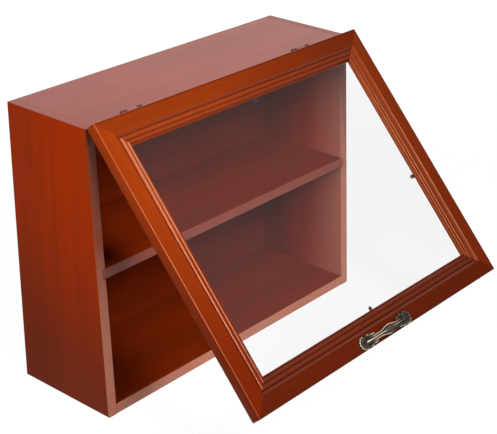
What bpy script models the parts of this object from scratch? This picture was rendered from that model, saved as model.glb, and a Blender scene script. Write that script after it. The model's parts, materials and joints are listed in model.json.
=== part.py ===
"""Tabletop display case: a case with one shelf and a glazed door hung on two butt hinges at the top.

Metres, +Z up. The origin is the centre of the base's underside, and the front faces -Y.
The front leans: the case is deeper at the base than at the top, and the door lies on that lean.
The door stands open as modelled, turned about the hinge pins from its closed place.
"""

import math

import bmesh
import bpy
from mathutils import Matrix, Vector

# Case
CASE_WIDTH = 0.450
CASE_HEIGHT = 0.350
TOP_DEPTH = 0.1255
BASE_DEPTH = 0.144
BOARD = 0.0125
EDGE_ROUND = 0.0007
GLUE_LINE = 0.0002

# Shelf, slid into a housing in each side
SHELF_THICKNESS = 0.012
SHELF_UNDERSIDE = 0.1725
HOUSING_DEPTH = 0.004
HOUSING_SLACK = 0.0009
HOUSING_END_GAP = 0.0004

# Back panel, in a rebate all round
BACK_THICKNESS = 0.004
REBATE_WIDTH = 0.006
PANEL_CLEARANCE = 0.0003

# Carcass dowels
DOWEL_RADIUS = 0.003
DOWEL_LENGTH = 0.025
DOWEL_IN_SIDE = 0.0085
DOWEL_CLEARANCE = 0.0002
DOWEL_FROM_EDGE = 0.032

# Door
DOOR_OPENING_DEG = 38.5
DOOR_THICKNESS = 0.0135
DOOR_GAP = 0.0010
FOOT_CLEARANCE = 0.0005
FRAME_WIDTH = 0.036
FLAT_BAND = 0.0185
OUTER_ROUND = 0.0012
SIDE_ROUND = 0.0008
FIRST_QUIRK = 0.0230
FIRST_QUIRK_DEPTH = 0.0032
FIRST_BEAD_RISE = 0.0014
SECOND_QUIRK = 0.0290
SECOND_QUIRK_DEPTH = 0.0034
SECOND_BEAD_RISE = 0.0015
THIRD_QUIRK = 0.0335
THIRD_QUIRK_DEPTH = 0.0042
SIGHT_EDGE_DEPTH = 0.0056
SHOULDER_DEPTH = 0.0075
GLASS_REBATE = 0.006
MITRE_GAP = 0.0002

# Glass pane
GLASS_THICKNESS = 0.002
GLASS_SEAT = 0.0002
GLASS_SIDE_GAP = 0.0005

# Mitre dowels
MITRE_DOWEL_RADIUS = 0.0025
MITRE_DOWEL_LENGTH = 0.022
MITRE_DOWEL_INSET = 0.013

# Glass clips, cranked from the back of the frame down onto the pane
CLIP_WIDTH = 0.005
CLIP_THICKNESS = 0.0012
CLIP_PAD_START = 0.020
CLIP_REACH = 0.0045
CLIP_SEAT = 0.00015
CLIP_TIP_ROUND = 0.0018
CLIP_WALL_GAP = 0.0004
CLIP_SCREW_INSET = 0.025
BOTTOM_CLIP_SHIFT = 0.0055
TOP_CLIP_SHIFT = 0.012
STILE_CLIP_DROP = 0.025

# Hinges
LEFT_HINGE_INSET = 0.068
RIGHT_HINGE_INSET = 0.0935
HINGE_LENGTH = 0.030
PIN_RISE = 0.0034
PIN_RADIUS = 0.0011
PIN_HEAD_RADIUS = 0.0021
PIN_HEAD = 0.0008
BORE_CLEARANCE = 0.00008
BARREL_RADIUS = 0.0025
END_KNUCKLE = 0.0075
KNUCKLE_GAP = 0.0003
LEAF_THICKNESS = 0.0009
LEAF_GAP = 0.0003
LEAF_WIDTH = 0.0135
MORTISE_CLEARANCE = 0.0002
BARREL_CLEARANCE = 0.0004
HINGE_SCREW_SPREAD = 0.018

# Pull
PULL_CENTRES = 0.076
PULL_LENGTH = 0.096
PULL_EDGE_DISTANCE = 0.0084
PULL_SHIFT = 0.003
PULL_SEAT = 0.0002
SHELL_RADIUS = 0.0078
SHELL_RIM = 0.0022
SHELL_DOME = 0.0052
SHELL_DOME_RADIUS = 0.0066
SHELL_LOBES = 11
STEPS_PER_LOBE = 2
SHELL_ARC_SHARE = 0.68
LOBE_DEPTH = 0.0006
LEAF_TIP = 0.0215
LEAF_ROOT_HALF_WIDTH = 0.0058
LEAF_TIP_HALF_WIDTH = 0.0022
GRIP_HEIGHT = 0.0102
GRIP_ROOT_HEIGHT = 0.0034
GRIP_HALF_WIDTH = 0.0049
NECK_HALF_WIDTH = 0.0019
GRIP_SWELL = 0.0135
GRIP_FLATNESS_SHARE = 0.56
GRIP_TAPER_SHARE = 1.3
RAIL_RADIUS = 0.0009
RAIL_SPREAD = 0.0059
RAIL_NECK_SPREAD = 0.0029
RAIL_SWELL = 0.0155
BAR_STEPS = 21

# Fasteners: head radius, head depth, shank radius, length over all
BRAD = (0.0015, 0.0006, 0.0007, 0.012)
HINGE_SCREW = (0.0019, 0.0009, 0.0010, 0.009)
PULL_SCREW = (0.0034, 0.0018, 0.0019, 0.0152)
CLIP_SCREW = (0.0021, 0.0012, 0.0010, 0.009)
SCREW_CLEARANCE = 0.00015
SCREW_POINT_SHARE = 0.18
BRAD_INSET = 0.003
SIDE_BRAD_RISE = 0.045

# One overrun serves every cut
OVERRUN = 0.005
MERGE = 0.000002
ROUND_SIDES = 24
SMALL_SIDES = 12
ARC_STEPS = 6

# Worked out from the sizes above
LEAN = math.atan((BASE_DEPTH - TOP_DEPTH) / CASE_HEIGHT)
BACK_Y = BASE_DEPTH / 2
SIDE_INNER = CASE_WIDTH / 2 - BOARD
SIGHT_TO_WALL = FRAME_WIDTH - GLASS_REBATE
DOOR_HEIGHT = (CASE_HEIGHT - FOOT_CLEARANCE) / math.cos(LEAN)
DOOR_BACK = -DOOR_GAP / 2
DOOR_TOP = -PIN_RISE
DOOR_BOTTOM = DOOR_TOP - DOOR_HEIGHT
GLASS_FRONT = DOOR_THICKNESS - SHOULDER_DEPTH - GLASS_SEAT
GLASS_BACK = GLASS_FRONT - GLASS_THICKNESS
HALF_TURN = math.pi
QUARTER_TURN = math.pi / 2

WOOD = ("stained_wood", (0.34, 0.070, 0.014), 0.32, 0.0)
INSIDE = ("inside_wood", (0.22, 0.040, 0.010), 0.45, 0.0)
PALE_WOOD = ("dowel_wood", (0.62, 0.45, 0.28), 0.6, 0.0)
GLASS = ("clear_glass", (0.90, 0.93, 0.92), 0.05, 0.0)
BRONZE = ("antique_bronze", (0.16, 0.125, 0.075), 0.42, 0.9)
BLACK_METAL = ("blackened_steel", (0.020, 0.016, 0.016), 0.45, 0.4)
STEEL = ("bright_steel", (0.55, 0.54, 0.52), 0.35, 1.0)


def clear_scene():
    """Remove whatever the scene holds."""
    for obj in list(bpy.data.objects):
        bpy.data.objects.remove(obj, do_unlink=True)


def new_collection(name):
    collection = bpy.data.collections.new(name)
    bpy.context.scene.collection.children.link(collection)
    return collection


def material(finish):
    """A Principled material, made once for each finish."""
    name, colour, roughness, metallic = finish
    found = bpy.data.materials.get(name)
    if found:
        return found
    made = bpy.data.materials.new(name)
    made.use_nodes = True
    shader = made.node_tree.nodes["Principled BSDF"]
    shader.inputs["Base Color"].default_value = (*colour, 1.0)
    shader.inputs["Roughness"].default_value = roughness
    shader.inputs["Metallic"].default_value = metallic
    if finish is GLASS:
        shader.inputs["Transmission Weight"].default_value = 1.0
    return made


def piece(name, mesh, finish, place=None, parent=None):
    """An object of the case, placed by a matrix in its parent's space."""
    obj = bpy.data.objects.new(name, mesh)
    PARTS.objects.link(obj)
    mesh.materials.append(material(finish))
    obj.parent = parent
    obj.matrix_basis = place or Matrix.Identity(4)
    return obj


def cutter(name, mesh, place=None, parent=None):
    """A hidden shape that cuts or joins."""
    obj = bpy.data.objects.new(name, mesh)
    CUTTERS.objects.link(obj)
    obj.hide_render = True
    obj.display_type = "WIRE"
    obj.parent = parent
    obj.matrix_basis = place or Matrix.Identity(4)
    return obj


def boolean(target, tool, operation):
    modifier = target.modifiers.new(tool.name, "BOOLEAN")
    modifier.operation = operation
    modifier.solver = "EXACT"
    modifier.object = tool


def cut(targets, tool):
    """Cut the same tool out of each of these pieces."""
    for target in targets:
        boolean(target, tool, "DIFFERENCE")


def join(target, tool):
    boolean(target, tool, "UNION")


def mesh_from(name, bm, smooth=False):
    bmesh.ops.recalc_face_normals(bm, faces=bm.faces)
    mesh = bpy.data.meshes.new(name)
    bm.to_mesh(mesh)
    bm.free()
    if smooth:
        mesh.shade_smooth()
        mesh.set_sharp_from_angle(angle=math.radians(40))
    return mesh


def box(name, low, high):
    """A box between two corners."""
    bm = bmesh.new()
    size = [b - a for a, b in zip(low, high)]
    centre = [(a + b) / 2 for a, b in zip(low, high)]
    bmesh.ops.create_cube(bm, size=1.0, matrix=Matrix.Translation(centre) @ Matrix.Diagonal((*size, 1.0)))
    return mesh_from(name, bm)


def rod(name, radius, length, sides=ROUND_SIDES):
    """A cylinder along Z, centred on the origin."""
    bm = bmesh.new()
    bmesh.ops.create_cone(
        bm, cap_ends=True, segments=sides, radius1=radius, radius2=radius, depth=length
    )
    return mesh_from(name, bm, smooth=True)


def prism(name, outline, low, high, rounded=None):
    """A flat outline of (y, z) points carried along X from low to high.

    rounded picks the edges to ease: it is given both ends of an edge and says yes or no.
    """
    bm = bmesh.new()
    face = bm.faces.new([bm.verts.new((low, y, z)) for y, z in outline])
    grown = bmesh.ops.extrude_face_region(bm, geom=[face])
    moved = [item for item in grown["geom"] if isinstance(item, bmesh.types.BMVert)]
    bmesh.ops.translate(bm, verts=moved, vec=(high - low, 0, 0))
    if rounded:
        edges = [edge for edge in bm.edges if rounded(*(vert.co for vert in edge.verts))]
        bmesh.ops.bevel(
            bm, geom=edges, offset=EDGE_ROUND, segments=2, profile=0.5, affect="EDGES", clamp_overlap=True
        )
    return mesh_from(name, bm)


def turned(name, profile, finish=None, place=None, parent=None, sides=SMALL_SIDES):
    """A turned piece: (radius, height) points from top to bottom, spun about Z. No finish makes a cutter."""
    mesh = bpy.data.meshes.new(name)
    points = [(radius, 0, height) for radius, height in profile]
    mesh.from_pydata(points, [(i, i + 1) for i in range(len(points) - 1)], [])
    obj = piece(name, mesh, finish, place, parent) if finish else cutter(name, mesh, place, parent)
    screw = obj.modifiers.new("Turn", "SCREW")
    screw.steps = sides
    screw.render_steps = sides
    screw.use_merge_vertices = True
    screw.merge_threshold = MERGE
    screw.use_smooth_shade = True
    return obj


def arc(centre, radius, start, end, steps=ARC_STEPS):
    """Points on an arc, with both angles in radians."""
    turns = [start + (end - start) * i / steps for i in range(steps + 1)]
    return [(centre[0] + radius * math.cos(t), centre[1] + radius * math.sin(t)) for t in turns]


def front_y(height):
    """Where the leaning front of the case is at this height."""
    return -BASE_DEPTH / 2 + (BASE_DEPTH - TOP_DEPTH) * height / CASE_HEIGHT


def place(x, y, z, axis="X", angle=0.0):
    return Matrix.Translation((x, y, z)) @ Matrix.Rotation(angle, 4, axis)


def side_slab(low, high):
    """The side view of the case between two heights: leaning front, upright back."""
    return [(front_y(low), low), (BACK_Y, low), (BACK_Y, high), (front_y(high), high)]


def shank_end(sizes, grow):
    """The straight shank and its point, common to a fastener and its hole."""
    _, _, shank, length = sizes
    point = length * SCREW_POINT_SHARE
    return [(shank + grow, point - length - grow), (0, -length - grow)]


def countersunk(sizes):
    """Profile of a flat-headed fastener with its face at height 0."""
    head, depth, shank, _ = sizes
    return [(0, 0), (head, 0), (shank, -depth), *shank_end(sizes, 0)]


def countersunk_hole(sizes):
    """Its hole: the same shape grown by the clearance, open above."""
    head, depth, shank, _ = sizes
    wide = head + SCREW_CLEARANCE
    narrow = shank + SCREW_CLEARANCE
    cone = [(wide, -SCREW_CLEARANCE), (narrow, -depth - SCREW_CLEARANCE)]
    return [(0, OVERRUN), (wide, OVERRUN), *cone, *shank_end(sizes, SCREW_CLEARANCE)]


def pan_head(sizes):
    """Profile of a screw whose domed head stands above height 0."""
    head, depth, shank, _ = sizes
    turns = [QUARTER_TURN * i / ARC_STEPS for i in range(ARC_STEPS)]
    dome = [(head * math.sin(t), depth * math.cos(t)) for t in turns]
    return [*dome, (head, 0), (shank, 0), *shank_end(sizes, 0)]


def pan_head_hole(sizes):
    """Its hole takes the shank alone, for the head stands on the surface."""
    narrow = sizes[2] + SCREW_CLEARANCE
    return [(0, OVERRUN), (narrow, OVERRUN), *shank_end(sizes, SCREW_CLEARANCE)]


def screw_and_hole(name, sizes, finish, at, parent, targets, shapes=(countersunk, countersunk_hole)):
    """A fastener in its place, and the hole for it cut through what it holds."""
    shape, hole_shape = shapes
    turned(name, shape(sizes), finish, at, parent)
    cut(targets, turned(name + "_hole", hole_shape(sizes), None, at, parent))


def outer_edges(side):
    """Edges on a side board's outer face, and its front edges, which are eased."""
    outer = side * CASE_WIDTH / 2

    def chosen(a, b):
        on_outer = abs(a.x - outer) < MERGE and abs(b.x - outer) < MERGE
        middle = (a + b) / 2
        on_front = abs(middle.y - front_y(middle.z)) < MERGE and abs(a.x - b.x) < MERGE
        return on_outer or on_front

    return chosen


def long_edges(a, b):
    """Edges that run the length of a board, at its front."""
    return abs(a.y - b.y) < MERGE and abs(a.z - b.z) < MERGE and a.y < 0


def make_carcass():
    """The six boards of the case, with their housings, rebates and dowels."""
    boards = {}
    for name, side in (("left_side", -1), ("right_side", 1)):
        ends = sorted((side * SIDE_INNER, side * CASE_WIDTH / 2))
        mesh = prism(name, side_slab(0, CASE_HEIGHT), *ends, rounded=outer_edges(side))
        boards[name] = piece(name, mesh, WOOD)
    inner = SIDE_INNER - GLUE_LINE
    levels = (("bottom_panel", 0, BOARD), ("top_panel", CASE_HEIGHT - BOARD, CASE_HEIGHT))
    for name, low, high in levels:
        mesh = prism(name, side_slab(low, high), -inner, inner, rounded=long_edges)
        boards[name] = piece(name, mesh, WOOD)
    boards["shelf"] = make_shelf()
    cut_housings(boards)
    boards["back_panel"] = make_back(boards)
    add_dowels(boards)
    return boards


def make_shelf():
    """The shelf reaches into both sides, and its front edge follows the lean."""
    half = SIDE_INNER + HOUSING_DEPTH - HOUSING_END_GAP
    low, high = SHELF_UNDERSIDE, SHELF_UNDERSIDE + SHELF_THICKNESS
    rear = BACK_Y - BACK_THICKNESS - PANEL_CLEARANCE - GLUE_LINE
    outline = [(front_y(low), low), (rear, low), (rear, high), (front_y(high), high)]
    return piece("shelf", prism("shelf", outline, -half, half, rounded=long_edges), INSIDE)


def cut_housings(boards):
    """One housing in each side, a little taller than the shelf, open at the front."""
    half = SIDE_INNER + HOUSING_DEPTH
    low = (-half, -BASE_DEPTH, SHELF_UNDERSIDE - HOUSING_SLACK)
    high = (half, BACK_Y - BACK_THICKNESS, SHELF_UNDERSIDE + SHELF_THICKNESS + GLUE_LINE)
    cut((boards["left_side"], boards["right_side"]), cutter("shelf_housing", box("housing", low, high)))


def make_back(boards):
    """The back panel in its rebate, flush with the back edges of the case, and its brads."""
    half = SIDE_INNER + REBATE_WIDTH
    low, high = BOARD - REBATE_WIDTH, CASE_HEIGHT - BOARD + REBATE_WIDTH
    front = BACK_Y - BACK_THICKNESS
    back = piece(
        "back_panel",
        box(
            "back_panel",
            (-half + PANEL_CLEARANCE, front, low + PANEL_CLEARANCE),
            (half - PANEL_CLEARANCE, BACK_Y, high - PANEL_CLEARANCE),
        ),
        INSIDE,
    )
    room = box("rebate", (-half, front - PANEL_CLEARANCE, low), (half, BACK_Y + OVERRUN, high))
    framing = [boards[name] for name in ("left_side", "right_side", "top_panel", "bottom_panel")]
    cut(framing, cutter("back_rebate", room))
    add_brads(back, boards, half - BRAD_INSET, low + BRAD_INSET, high - BRAD_INSET)
    return back


def add_brads(back, boards, reach, low, high):
    """Brads through the back panel's edge: three along the top, three along the foot, one up each side."""
    spots = [("top_panel", x, high) for x in (-reach / 2, 0, reach / 2)]
    spots += [("bottom_panel", x, low) for x in (-reach / 2, 0, reach / 2)]
    beside = (low + high) / 2 + SIDE_BRAD_RISE
    spots += [("left_side", -reach, beside), ("right_side", reach, beside)]
    for number, (board, x, z) in enumerate(spots, 1):
        at = place(x, BACK_Y, z, "X", -QUARTER_TURN)
        screw_and_hole(f"back_brad_{number}", BRAD, STEEL, at, None, [back, boards[board]])


def add_dowels(boards):
    """Two dowels across each corner joint, blind in the side and in the panel's end."""
    for level, z in (("bottom", BOARD / 2), ("top", CASE_HEIGHT - BOARD / 2)):
        for hand, side in (("left", -1), ("right", 1)):
            spots = (("front", front_y(z) + DOWEL_FROM_EDGE), ("rear", BACK_Y - DOWEL_FROM_EDGE))
            for end, y in spots:
                name = f"{level}_{hand}_{end}_dowel"
                x = side * (SIDE_INNER + DOWEL_IN_SIDE - DOWEL_LENGTH / 2)
                at = place(x, y, z, "Y", QUARTER_TURN)
                piece(name, rod(name, DOWEL_RADIUS, DOWEL_LENGTH, SMALL_SIDES), PALE_WOOD, at)
                hole = rod(
                    name + "_hole",
                    DOWEL_RADIUS + DOWEL_CLEARANCE,
                    DOWEL_LENGTH + 2 * DOWEL_CLEARANCE,
                    SMALL_SIDES,
                )
                cut((boards[f"{hand}_side"], boards[f"{level}_panel"]), cutter(name + "_hole", hole, at))


def bead(start, start_depth, end, end_depth, rise):
    """A bead between two quirks: half a sine of the given rise over the line that joins them."""
    steps = ARC_STEPS
    points = []
    for i in range(1, steps):
        share = i / steps
        across = start + (end - start) * share
        depth = start_depth + (end_depth - start_depth) * share - rise * math.sin(HALF_TURN * share)
        points.append((across, DOOR_THICKNESS - depth))
    return points


def ovolo(start, end, depth):
    """A quarter-round slope from the flat band down to the first quirk."""
    turns = [QUARTER_TURN * i / ARC_STEPS for i in range(ARC_STEPS + 1)]
    return [(start + (end - start) * math.sin(t), DOOR_THICKNESS - depth * (1 - math.cos(t))) for t in turns]


def moulding():
    """Section of a door member: (distance in from the outer edge, height over the back face)."""
    rebate_top = DOOR_THICKNESS - SHOULDER_DEPTH
    corner = (OUTER_ROUND, DOOR_THICKNESS - OUTER_ROUND)
    back_corner = (SIDE_ROUND, SIDE_ROUND)
    return [
        *arc(back_corner, SIDE_ROUND, 3 * QUARTER_TURN, HALF_TURN, 2),
        *arc(corner, OUTER_ROUND, HALF_TURN, QUARTER_TURN, 4),
        *ovolo(FLAT_BAND, FIRST_QUIRK, FIRST_QUIRK_DEPTH),
        *bead(FIRST_QUIRK, FIRST_QUIRK_DEPTH, SECOND_QUIRK, SECOND_QUIRK_DEPTH, FIRST_BEAD_RISE),
        (SECOND_QUIRK, DOOR_THICKNESS - SECOND_QUIRK_DEPTH),
        *bead(SECOND_QUIRK, SECOND_QUIRK_DEPTH, THIRD_QUIRK, THIRD_QUIRK_DEPTH, SECOND_BEAD_RISE),
        (THIRD_QUIRK, DOOR_THICKNESS - THIRD_QUIRK_DEPTH),
        (FRAME_WIDTH, DOOR_THICKNESS - SIGHT_EDGE_DEPTH),
        (FRAME_WIDTH, rebate_top),
        (FRAME_WIDTH - GLASS_REBATE, rebate_top),
        (FRAME_WIDTH - GLASS_REBATE, 0),
    ]


def member_mesh(name, length):
    """A moulded length with a mitre at each end: each point stops short by its own distance in."""
    bm = bmesh.new()
    face = bm.faces.new([bm.verts.new((0, across, height)) for across, height in moulding()])
    far = [v for v in bmesh.ops.extrude_face_region(bm, geom=[face])["geom"] if isinstance(v, bmesh.types.BMVert)]
    for vert in bm.verts:
        side = 1 if vert in far else -1
        vert.co.x = side * (length / 2 - vert.co.y - MITRE_GAP / 2)
    return mesh_from(name, bm)


def member_place(turn, reach_x, reach_z):
    """Where a member lies in the door: its outer edge out, its moulded face to the front."""
    middle = Vector((reach_x, DOOR_BACK, (DOOR_TOP + DOOR_BOTTOM) / 2 + reach_z))
    return Matrix.Translation(middle) @ Matrix.Rotation(turn, 4, "Y") @ Matrix.Rotation(QUARTER_TURN, 4, "X")


MEMBERS = {
    "door_bottom_rail": (0.0, (0, -DOOR_HEIGHT / 2), CASE_WIDTH),
    "door_left_stile": (QUARTER_TURN, (-CASE_WIDTH / 2, 0), DOOR_HEIGHT),
    "door_top_rail": (HALF_TURN, (0, DOOR_HEIGHT / 2), CASE_WIDTH),
    "door_right_stile": (-QUARTER_TURN, (CASE_WIDTH / 2, 0), DOOR_HEIGHT),
}


def make_door(door):
    """The mitred frame with its dowels, the pane, the clips and the pull, all on the door's axis."""
    members = {}
    for name, (turn, reach, length) in MEMBERS.items():
        at = member_place(turn, *reach)
        members[name] = piece(name, member_mesh(name, length), WOOD, at, door)
    add_mitre_dowels(members, door)
    make_pane(door)
    for name, (turn, reach, length) in MEMBERS.items():
        add_clip(name, members[name], member_place(turn, *reach), door)
    make_pull(members["door_bottom_rail"], door)
    return members


def add_mitre_dowels(members, door):
    """One dowel square across each mitre, under the flat band."""
    reach = CASE_WIDTH / 2 - MITRE_DOWEL_INSET
    rise = DOOR_HEIGHT / 2 - MITRE_DOWEL_INSET
    middle = (DOOR_TOP + DOOR_BOTTOM) / 2
    for level, up in (("top", 1), ("bottom", -1)):
        for hand, side in (("left", -1), ("right", 1)):
            name = f"mitre_dowel_{level}_{hand}"
            depth = DOOR_BACK - DOOR_THICKNESS / 2
            at = place(side * reach, depth, middle + up * rise, "Y", -side * up * QUARTER_TURN / 2)
            piece(name, rod(name, MITRE_DOWEL_RADIUS, MITRE_DOWEL_LENGTH, SMALL_SIDES), PALE_WOOD, at, door)
            hole = rod(
                name + "_hole",
                MITRE_DOWEL_RADIUS + DOWEL_CLEARANCE,
                MITRE_DOWEL_LENGTH + 2 * DOWEL_CLEARANCE,
                SMALL_SIDES,
            )
            pair = (members[f"door_{level}_rail"], members[f"door_{hand}_stile"])
            cut(pair, cutter(name + "_hole", hole, at, door))


def make_pane(door):
    """The glass, seated in the rebate of all four members."""
    half = CASE_WIDTH / 2 - SIGHT_TO_WALL - GLASS_SIDE_GAP
    rise = DOOR_HEIGHT / 2 - SIGHT_TO_WALL - GLASS_SIDE_GAP
    middle = (DOOR_TOP + DOOR_BOTTOM) / 2
    low = (-half, DOOR_BACK - GLASS_FRONT, middle - rise)
    high = (half, DOOR_BACK - GLASS_BACK, middle + rise)
    piece("door_glass", box("door_glass", low, high), GLASS, None, door)


def clip_outline():
    """Side view of a clip in its member's (distance in, height over the back face)."""
    pad_high = -CLIP_SEAT
    pad_low = pad_high - CLIP_THICKNESS
    tongue_high = GLASS_BACK - CLIP_SEAT
    tongue_low = tongue_high - CLIP_THICKNESS
    wall = SIGHT_TO_WALL + CLIP_WALL_GAP
    tip = FRAME_WIDTH + CLIP_REACH
    return [
        (CLIP_PAD_START, pad_low),
        (wall + CLIP_THICKNESS, pad_low),
        (wall + CLIP_THICKNESS, tongue_low),
        (tip, tongue_low),
        (tip, tongue_high),
        (wall, tongue_high),
        (wall, pad_high),
        (CLIP_PAD_START, pad_high),
    ]


def clip_mesh(name):
    """A cranked strip with a rounded tip and a rounded pad."""
    bm = bmesh.new()
    half = CLIP_WIDTH / 2
    face = bm.faces.new([bm.verts.new((-half, across, height)) for across, height in clip_outline()])
    grown = bmesh.ops.extrude_face_region(bm, geom=[face])
    moved = [item for item in grown["geom"] if isinstance(item, bmesh.types.BMVert)]
    bmesh.ops.translate(bm, verts=moved, vec=(CLIP_WIDTH, 0, 0))
    ends = (CLIP_PAD_START, FRAME_WIDTH + CLIP_REACH)
    corners = [
        edge
        for edge in bm.edges
        if any(all(abs(v.co.y - end) < MERGE for v in edge.verts) for end in ends)
        and abs(edge.verts[0].co.x - edge.verts[1].co.x) < MERGE
    ]
    bmesh.ops.bevel(bm, geom=corners, offset=CLIP_TIP_ROUND, segments=4, profile=0.5, affect="EDGES")
    return mesh_from(name, bm)


CLIP_SHIFTS = {
    "door_bottom_rail": BOTTOM_CLIP_SHIFT,
    "door_left_stile": STILE_CLIP_DROP,
    "door_top_rail": -TOP_CLIP_SHIFT,
    "door_right_stile": -STILE_CLIP_DROP,
}


def add_clip(member_name, member, at, door):
    """A clip on the back of one member, and its screw. The stile clips miss the shelf."""
    short = member_name.split("_")[1]
    shifted = at @ Matrix.Translation((CLIP_SHIFTS[member_name], 0, 0))
    clip = piece(f"glass_clip_{short}", clip_mesh(f"glass_clip_{short}"), BLACK_METAL, shifted, door)
    seat = Matrix.Translation((0, CLIP_SCREW_INSET, -CLIP_SEAT - CLIP_THICKNESS - CLIP_SEAT))
    inward = shifted @ seat @ Matrix.Rotation(HALF_TURN, 4, "X")
    shapes = (pan_head, pan_head_hole)
    screw_and_hole(f"clip_screw_{short}", CLIP_SCREW, BLACK_METAL, inward, door, [clip, member], shapes)


def shell_outline(side):
    """Outline of a shell foot: a lobed round end that narrows to a leaf towards the grip."""
    centre = side * (PULL_LENGTH / 2 - SHELL_RADIUS)
    points = []
    steps = SHELL_LOBES * STEPS_PER_LOBE
    for i in range(steps + 1):
        share = i / steps
        turn = SHELL_ARC_SHARE * HALF_TURN * (2 * share - 1)
        lobe = LOBE_DEPTH * abs(math.sin(HALF_TURN * SHELL_LOBES * share))
        radius = SHELL_RADIUS - LOBE_DEPTH + lobe
        points.append((centre + side * radius * math.cos(turn), side * radius * math.sin(turn)))
    root, tip = side * (PULL_CENTRES / 2 - SHELL_RADIUS), side * LEAF_TIP
    leaf = [(root, LEAF_ROOT_HALF_WIDTH), (tip, LEAF_TIP_HALF_WIDTH)]
    leaf += [(x, -y) for x, y in reversed(leaf)]
    return points + [(x, side * y) for x, y in leaf]


def shell_mesh(name, side):
    """The foot's flat plate."""
    bm = bmesh.new()
    face = bm.faces.new([bm.verts.new((x, y, PULL_SEAT)) for x, y in shell_outline(side)])
    grown = bmesh.ops.extrude_face_region(bm, geom=[face])
    moved = [item for item in grown["geom"] if isinstance(item, bmesh.types.BMVert)]
    bmesh.ops.translate(bm, verts=moved, vec=(0, 0, SHELL_RIM - PULL_SEAT))
    return mesh_from(name, bm)


def dome_mesh(name, side):
    """The foot's raised middle, a flattened half ball."""
    bm = bmesh.new()
    place_at = Matrix.Translation((side * PULL_CENTRES / 2, 0, SHELL_RIM / 2))
    shape = Matrix.Diagonal((SHELL_DOME_RADIUS, SHELL_DOME_RADIUS, SHELL_DOME - SHELL_RIM / 2, 1.0))
    bmesh.ops.create_uvsphere(bm, u_segments=ROUND_SIDES, v_segments=10, radius=1.0, matrix=place_at @ shape)
    bmesh.ops.bisect_plane(
        bm,
        geom=[*bm.verts, *bm.edges, *bm.faces],
        plane_co=(0, 0, SHELL_RIM / 2),
        plane_no=(0, 0, -1),
        clear_outer=True,
        dist=MERGE,
    )
    rim = [edge for edge in bm.edges if edge.is_boundary]
    bmesh.ops.holes_fill(bm, edges=rim)
    return mesh_from(name, bm)


def swell(x, reach):
    """A smooth bump: 1 at the middle of the grip, 0 from reach outwards."""
    share = min(abs(x) / reach, 1.0)
    return (1 + math.cos(HALF_TURN * share)) / 2


def grip_height(x):
    """Height of the bar's centre line over the door, low at the feet and level at the grip."""
    share = min(abs(x) / (PULL_CENTRES / 2), 1.0)
    return GRIP_ROOT_HEIGHT + (GRIP_HEIGHT - GRIP_ROOT_HEIGHT) * math.cos(QUARTER_TURN * share ** 2)


def tube(name, points, radii, flat, parent, at, bevel_resolution):
    """A bar along points with its own radius at each, made a mesh with welded caps.

    flat is how flat its section is: heights are divided by it here and scaled back in the mesh.
    """
    data = bpy.data.curves.new(name, "CURVE")
    data.dimensions = "3D"
    data.bevel_depth = 1.0
    data.bevel_resolution = bevel_resolution
    data.use_fill_caps = True
    spline = data.splines.new("POLY")
    spline.points.add(len(points) - 1)
    for point, (x, y, z), radius in zip(spline.points, points, radii):
        point.co = (x, y, z / flat, 1.0)
        point.radius = radius
    source = bpy.data.objects.new(name + "_path", data)
    CUTTERS.objects.link(source)
    depsgraph = bpy.context.evaluated_depsgraph_get()
    mesh = bpy.data.meshes.new_from_object(source.evaluated_get(depsgraph))
    bpy.data.objects.remove(source)
    bm = bmesh.new()
    bm.from_mesh(mesh)
    bmesh.ops.remove_doubles(bm, verts=bm.verts, dist=MERGE)
    bmesh.ops.scale(bm, verts=bm.verts, vec=(1.0, 1.0, flat))
    return cutter(name, mesh_from(name, bm), at, parent)


def bar_points(spread_root, spread_middle, reach, count):
    """Points along the bar from foot to foot, at a sideways spread that swells in the middle."""
    half = PULL_CENTRES / 2
    xs = [-half + 2 * half * i / (count - 1) for i in range(count)]
    return [(x, spread_root + (spread_middle - spread_root) * swell(x, reach), grip_height(x)) for x in xs]


def make_pull(rail, door):
    """The cast pull: two shell feet, a swelling grip and a rail on either side of it, and its screws."""
    middle = DOOR_BOTTOM + PULL_EDGE_DISTANCE
    at = place(-PULL_SHIFT, DOOR_BACK - DOOR_THICKNESS, middle, "X", QUARTER_TURN)
    pull = piece("pull_handle", shell_mesh("pull_handle", -1), BRONZE, at, door)
    join(pull, cutter("left_dome", dome_mesh("left_dome", -1), at, door))
    centre = bar_points(0, 0, GRIP_SWELL, BAR_STEPS)
    taper = GRIP_SWELL * GRIP_TAPER_SHARE
    radii = [NECK_HALF_WIDTH + (GRIP_HALF_WIDTH - NECK_HALF_WIDTH) * swell(x, taper) for x, _, _ in centre]
    join(pull, tube("grip", centre, radii, GRIP_FLATNESS_SHARE, door, at, 3))
    join(pull, cutter("right_shell", shell_mesh("right_shell", 1), at, door))
    join(pull, cutter("right_dome", dome_mesh("right_dome", 1), at, door))
    for name, side in (("upper_rail", 1), ("lower_rail", -1)):
        path = bar_points(side * RAIL_NECK_SPREAD, side * RAIL_SPREAD, RAIL_SWELL, BAR_STEPS)
        join(pull, tube(name, path, [RAIL_RADIUS] * len(path), 1.0, door, at, 1))
    for hand, side in (("left", -1), ("right", 1)):
        spot = place(side * PULL_CENTRES / 2 - PULL_SHIFT, DOOR_BACK, middle, "X", -QUARTER_TURN)
        name = f"pull_screw_{hand}"
        screw_and_hole(name, PULL_SCREW, BLACK_METAL, spot, door, [rail, pull])


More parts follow.
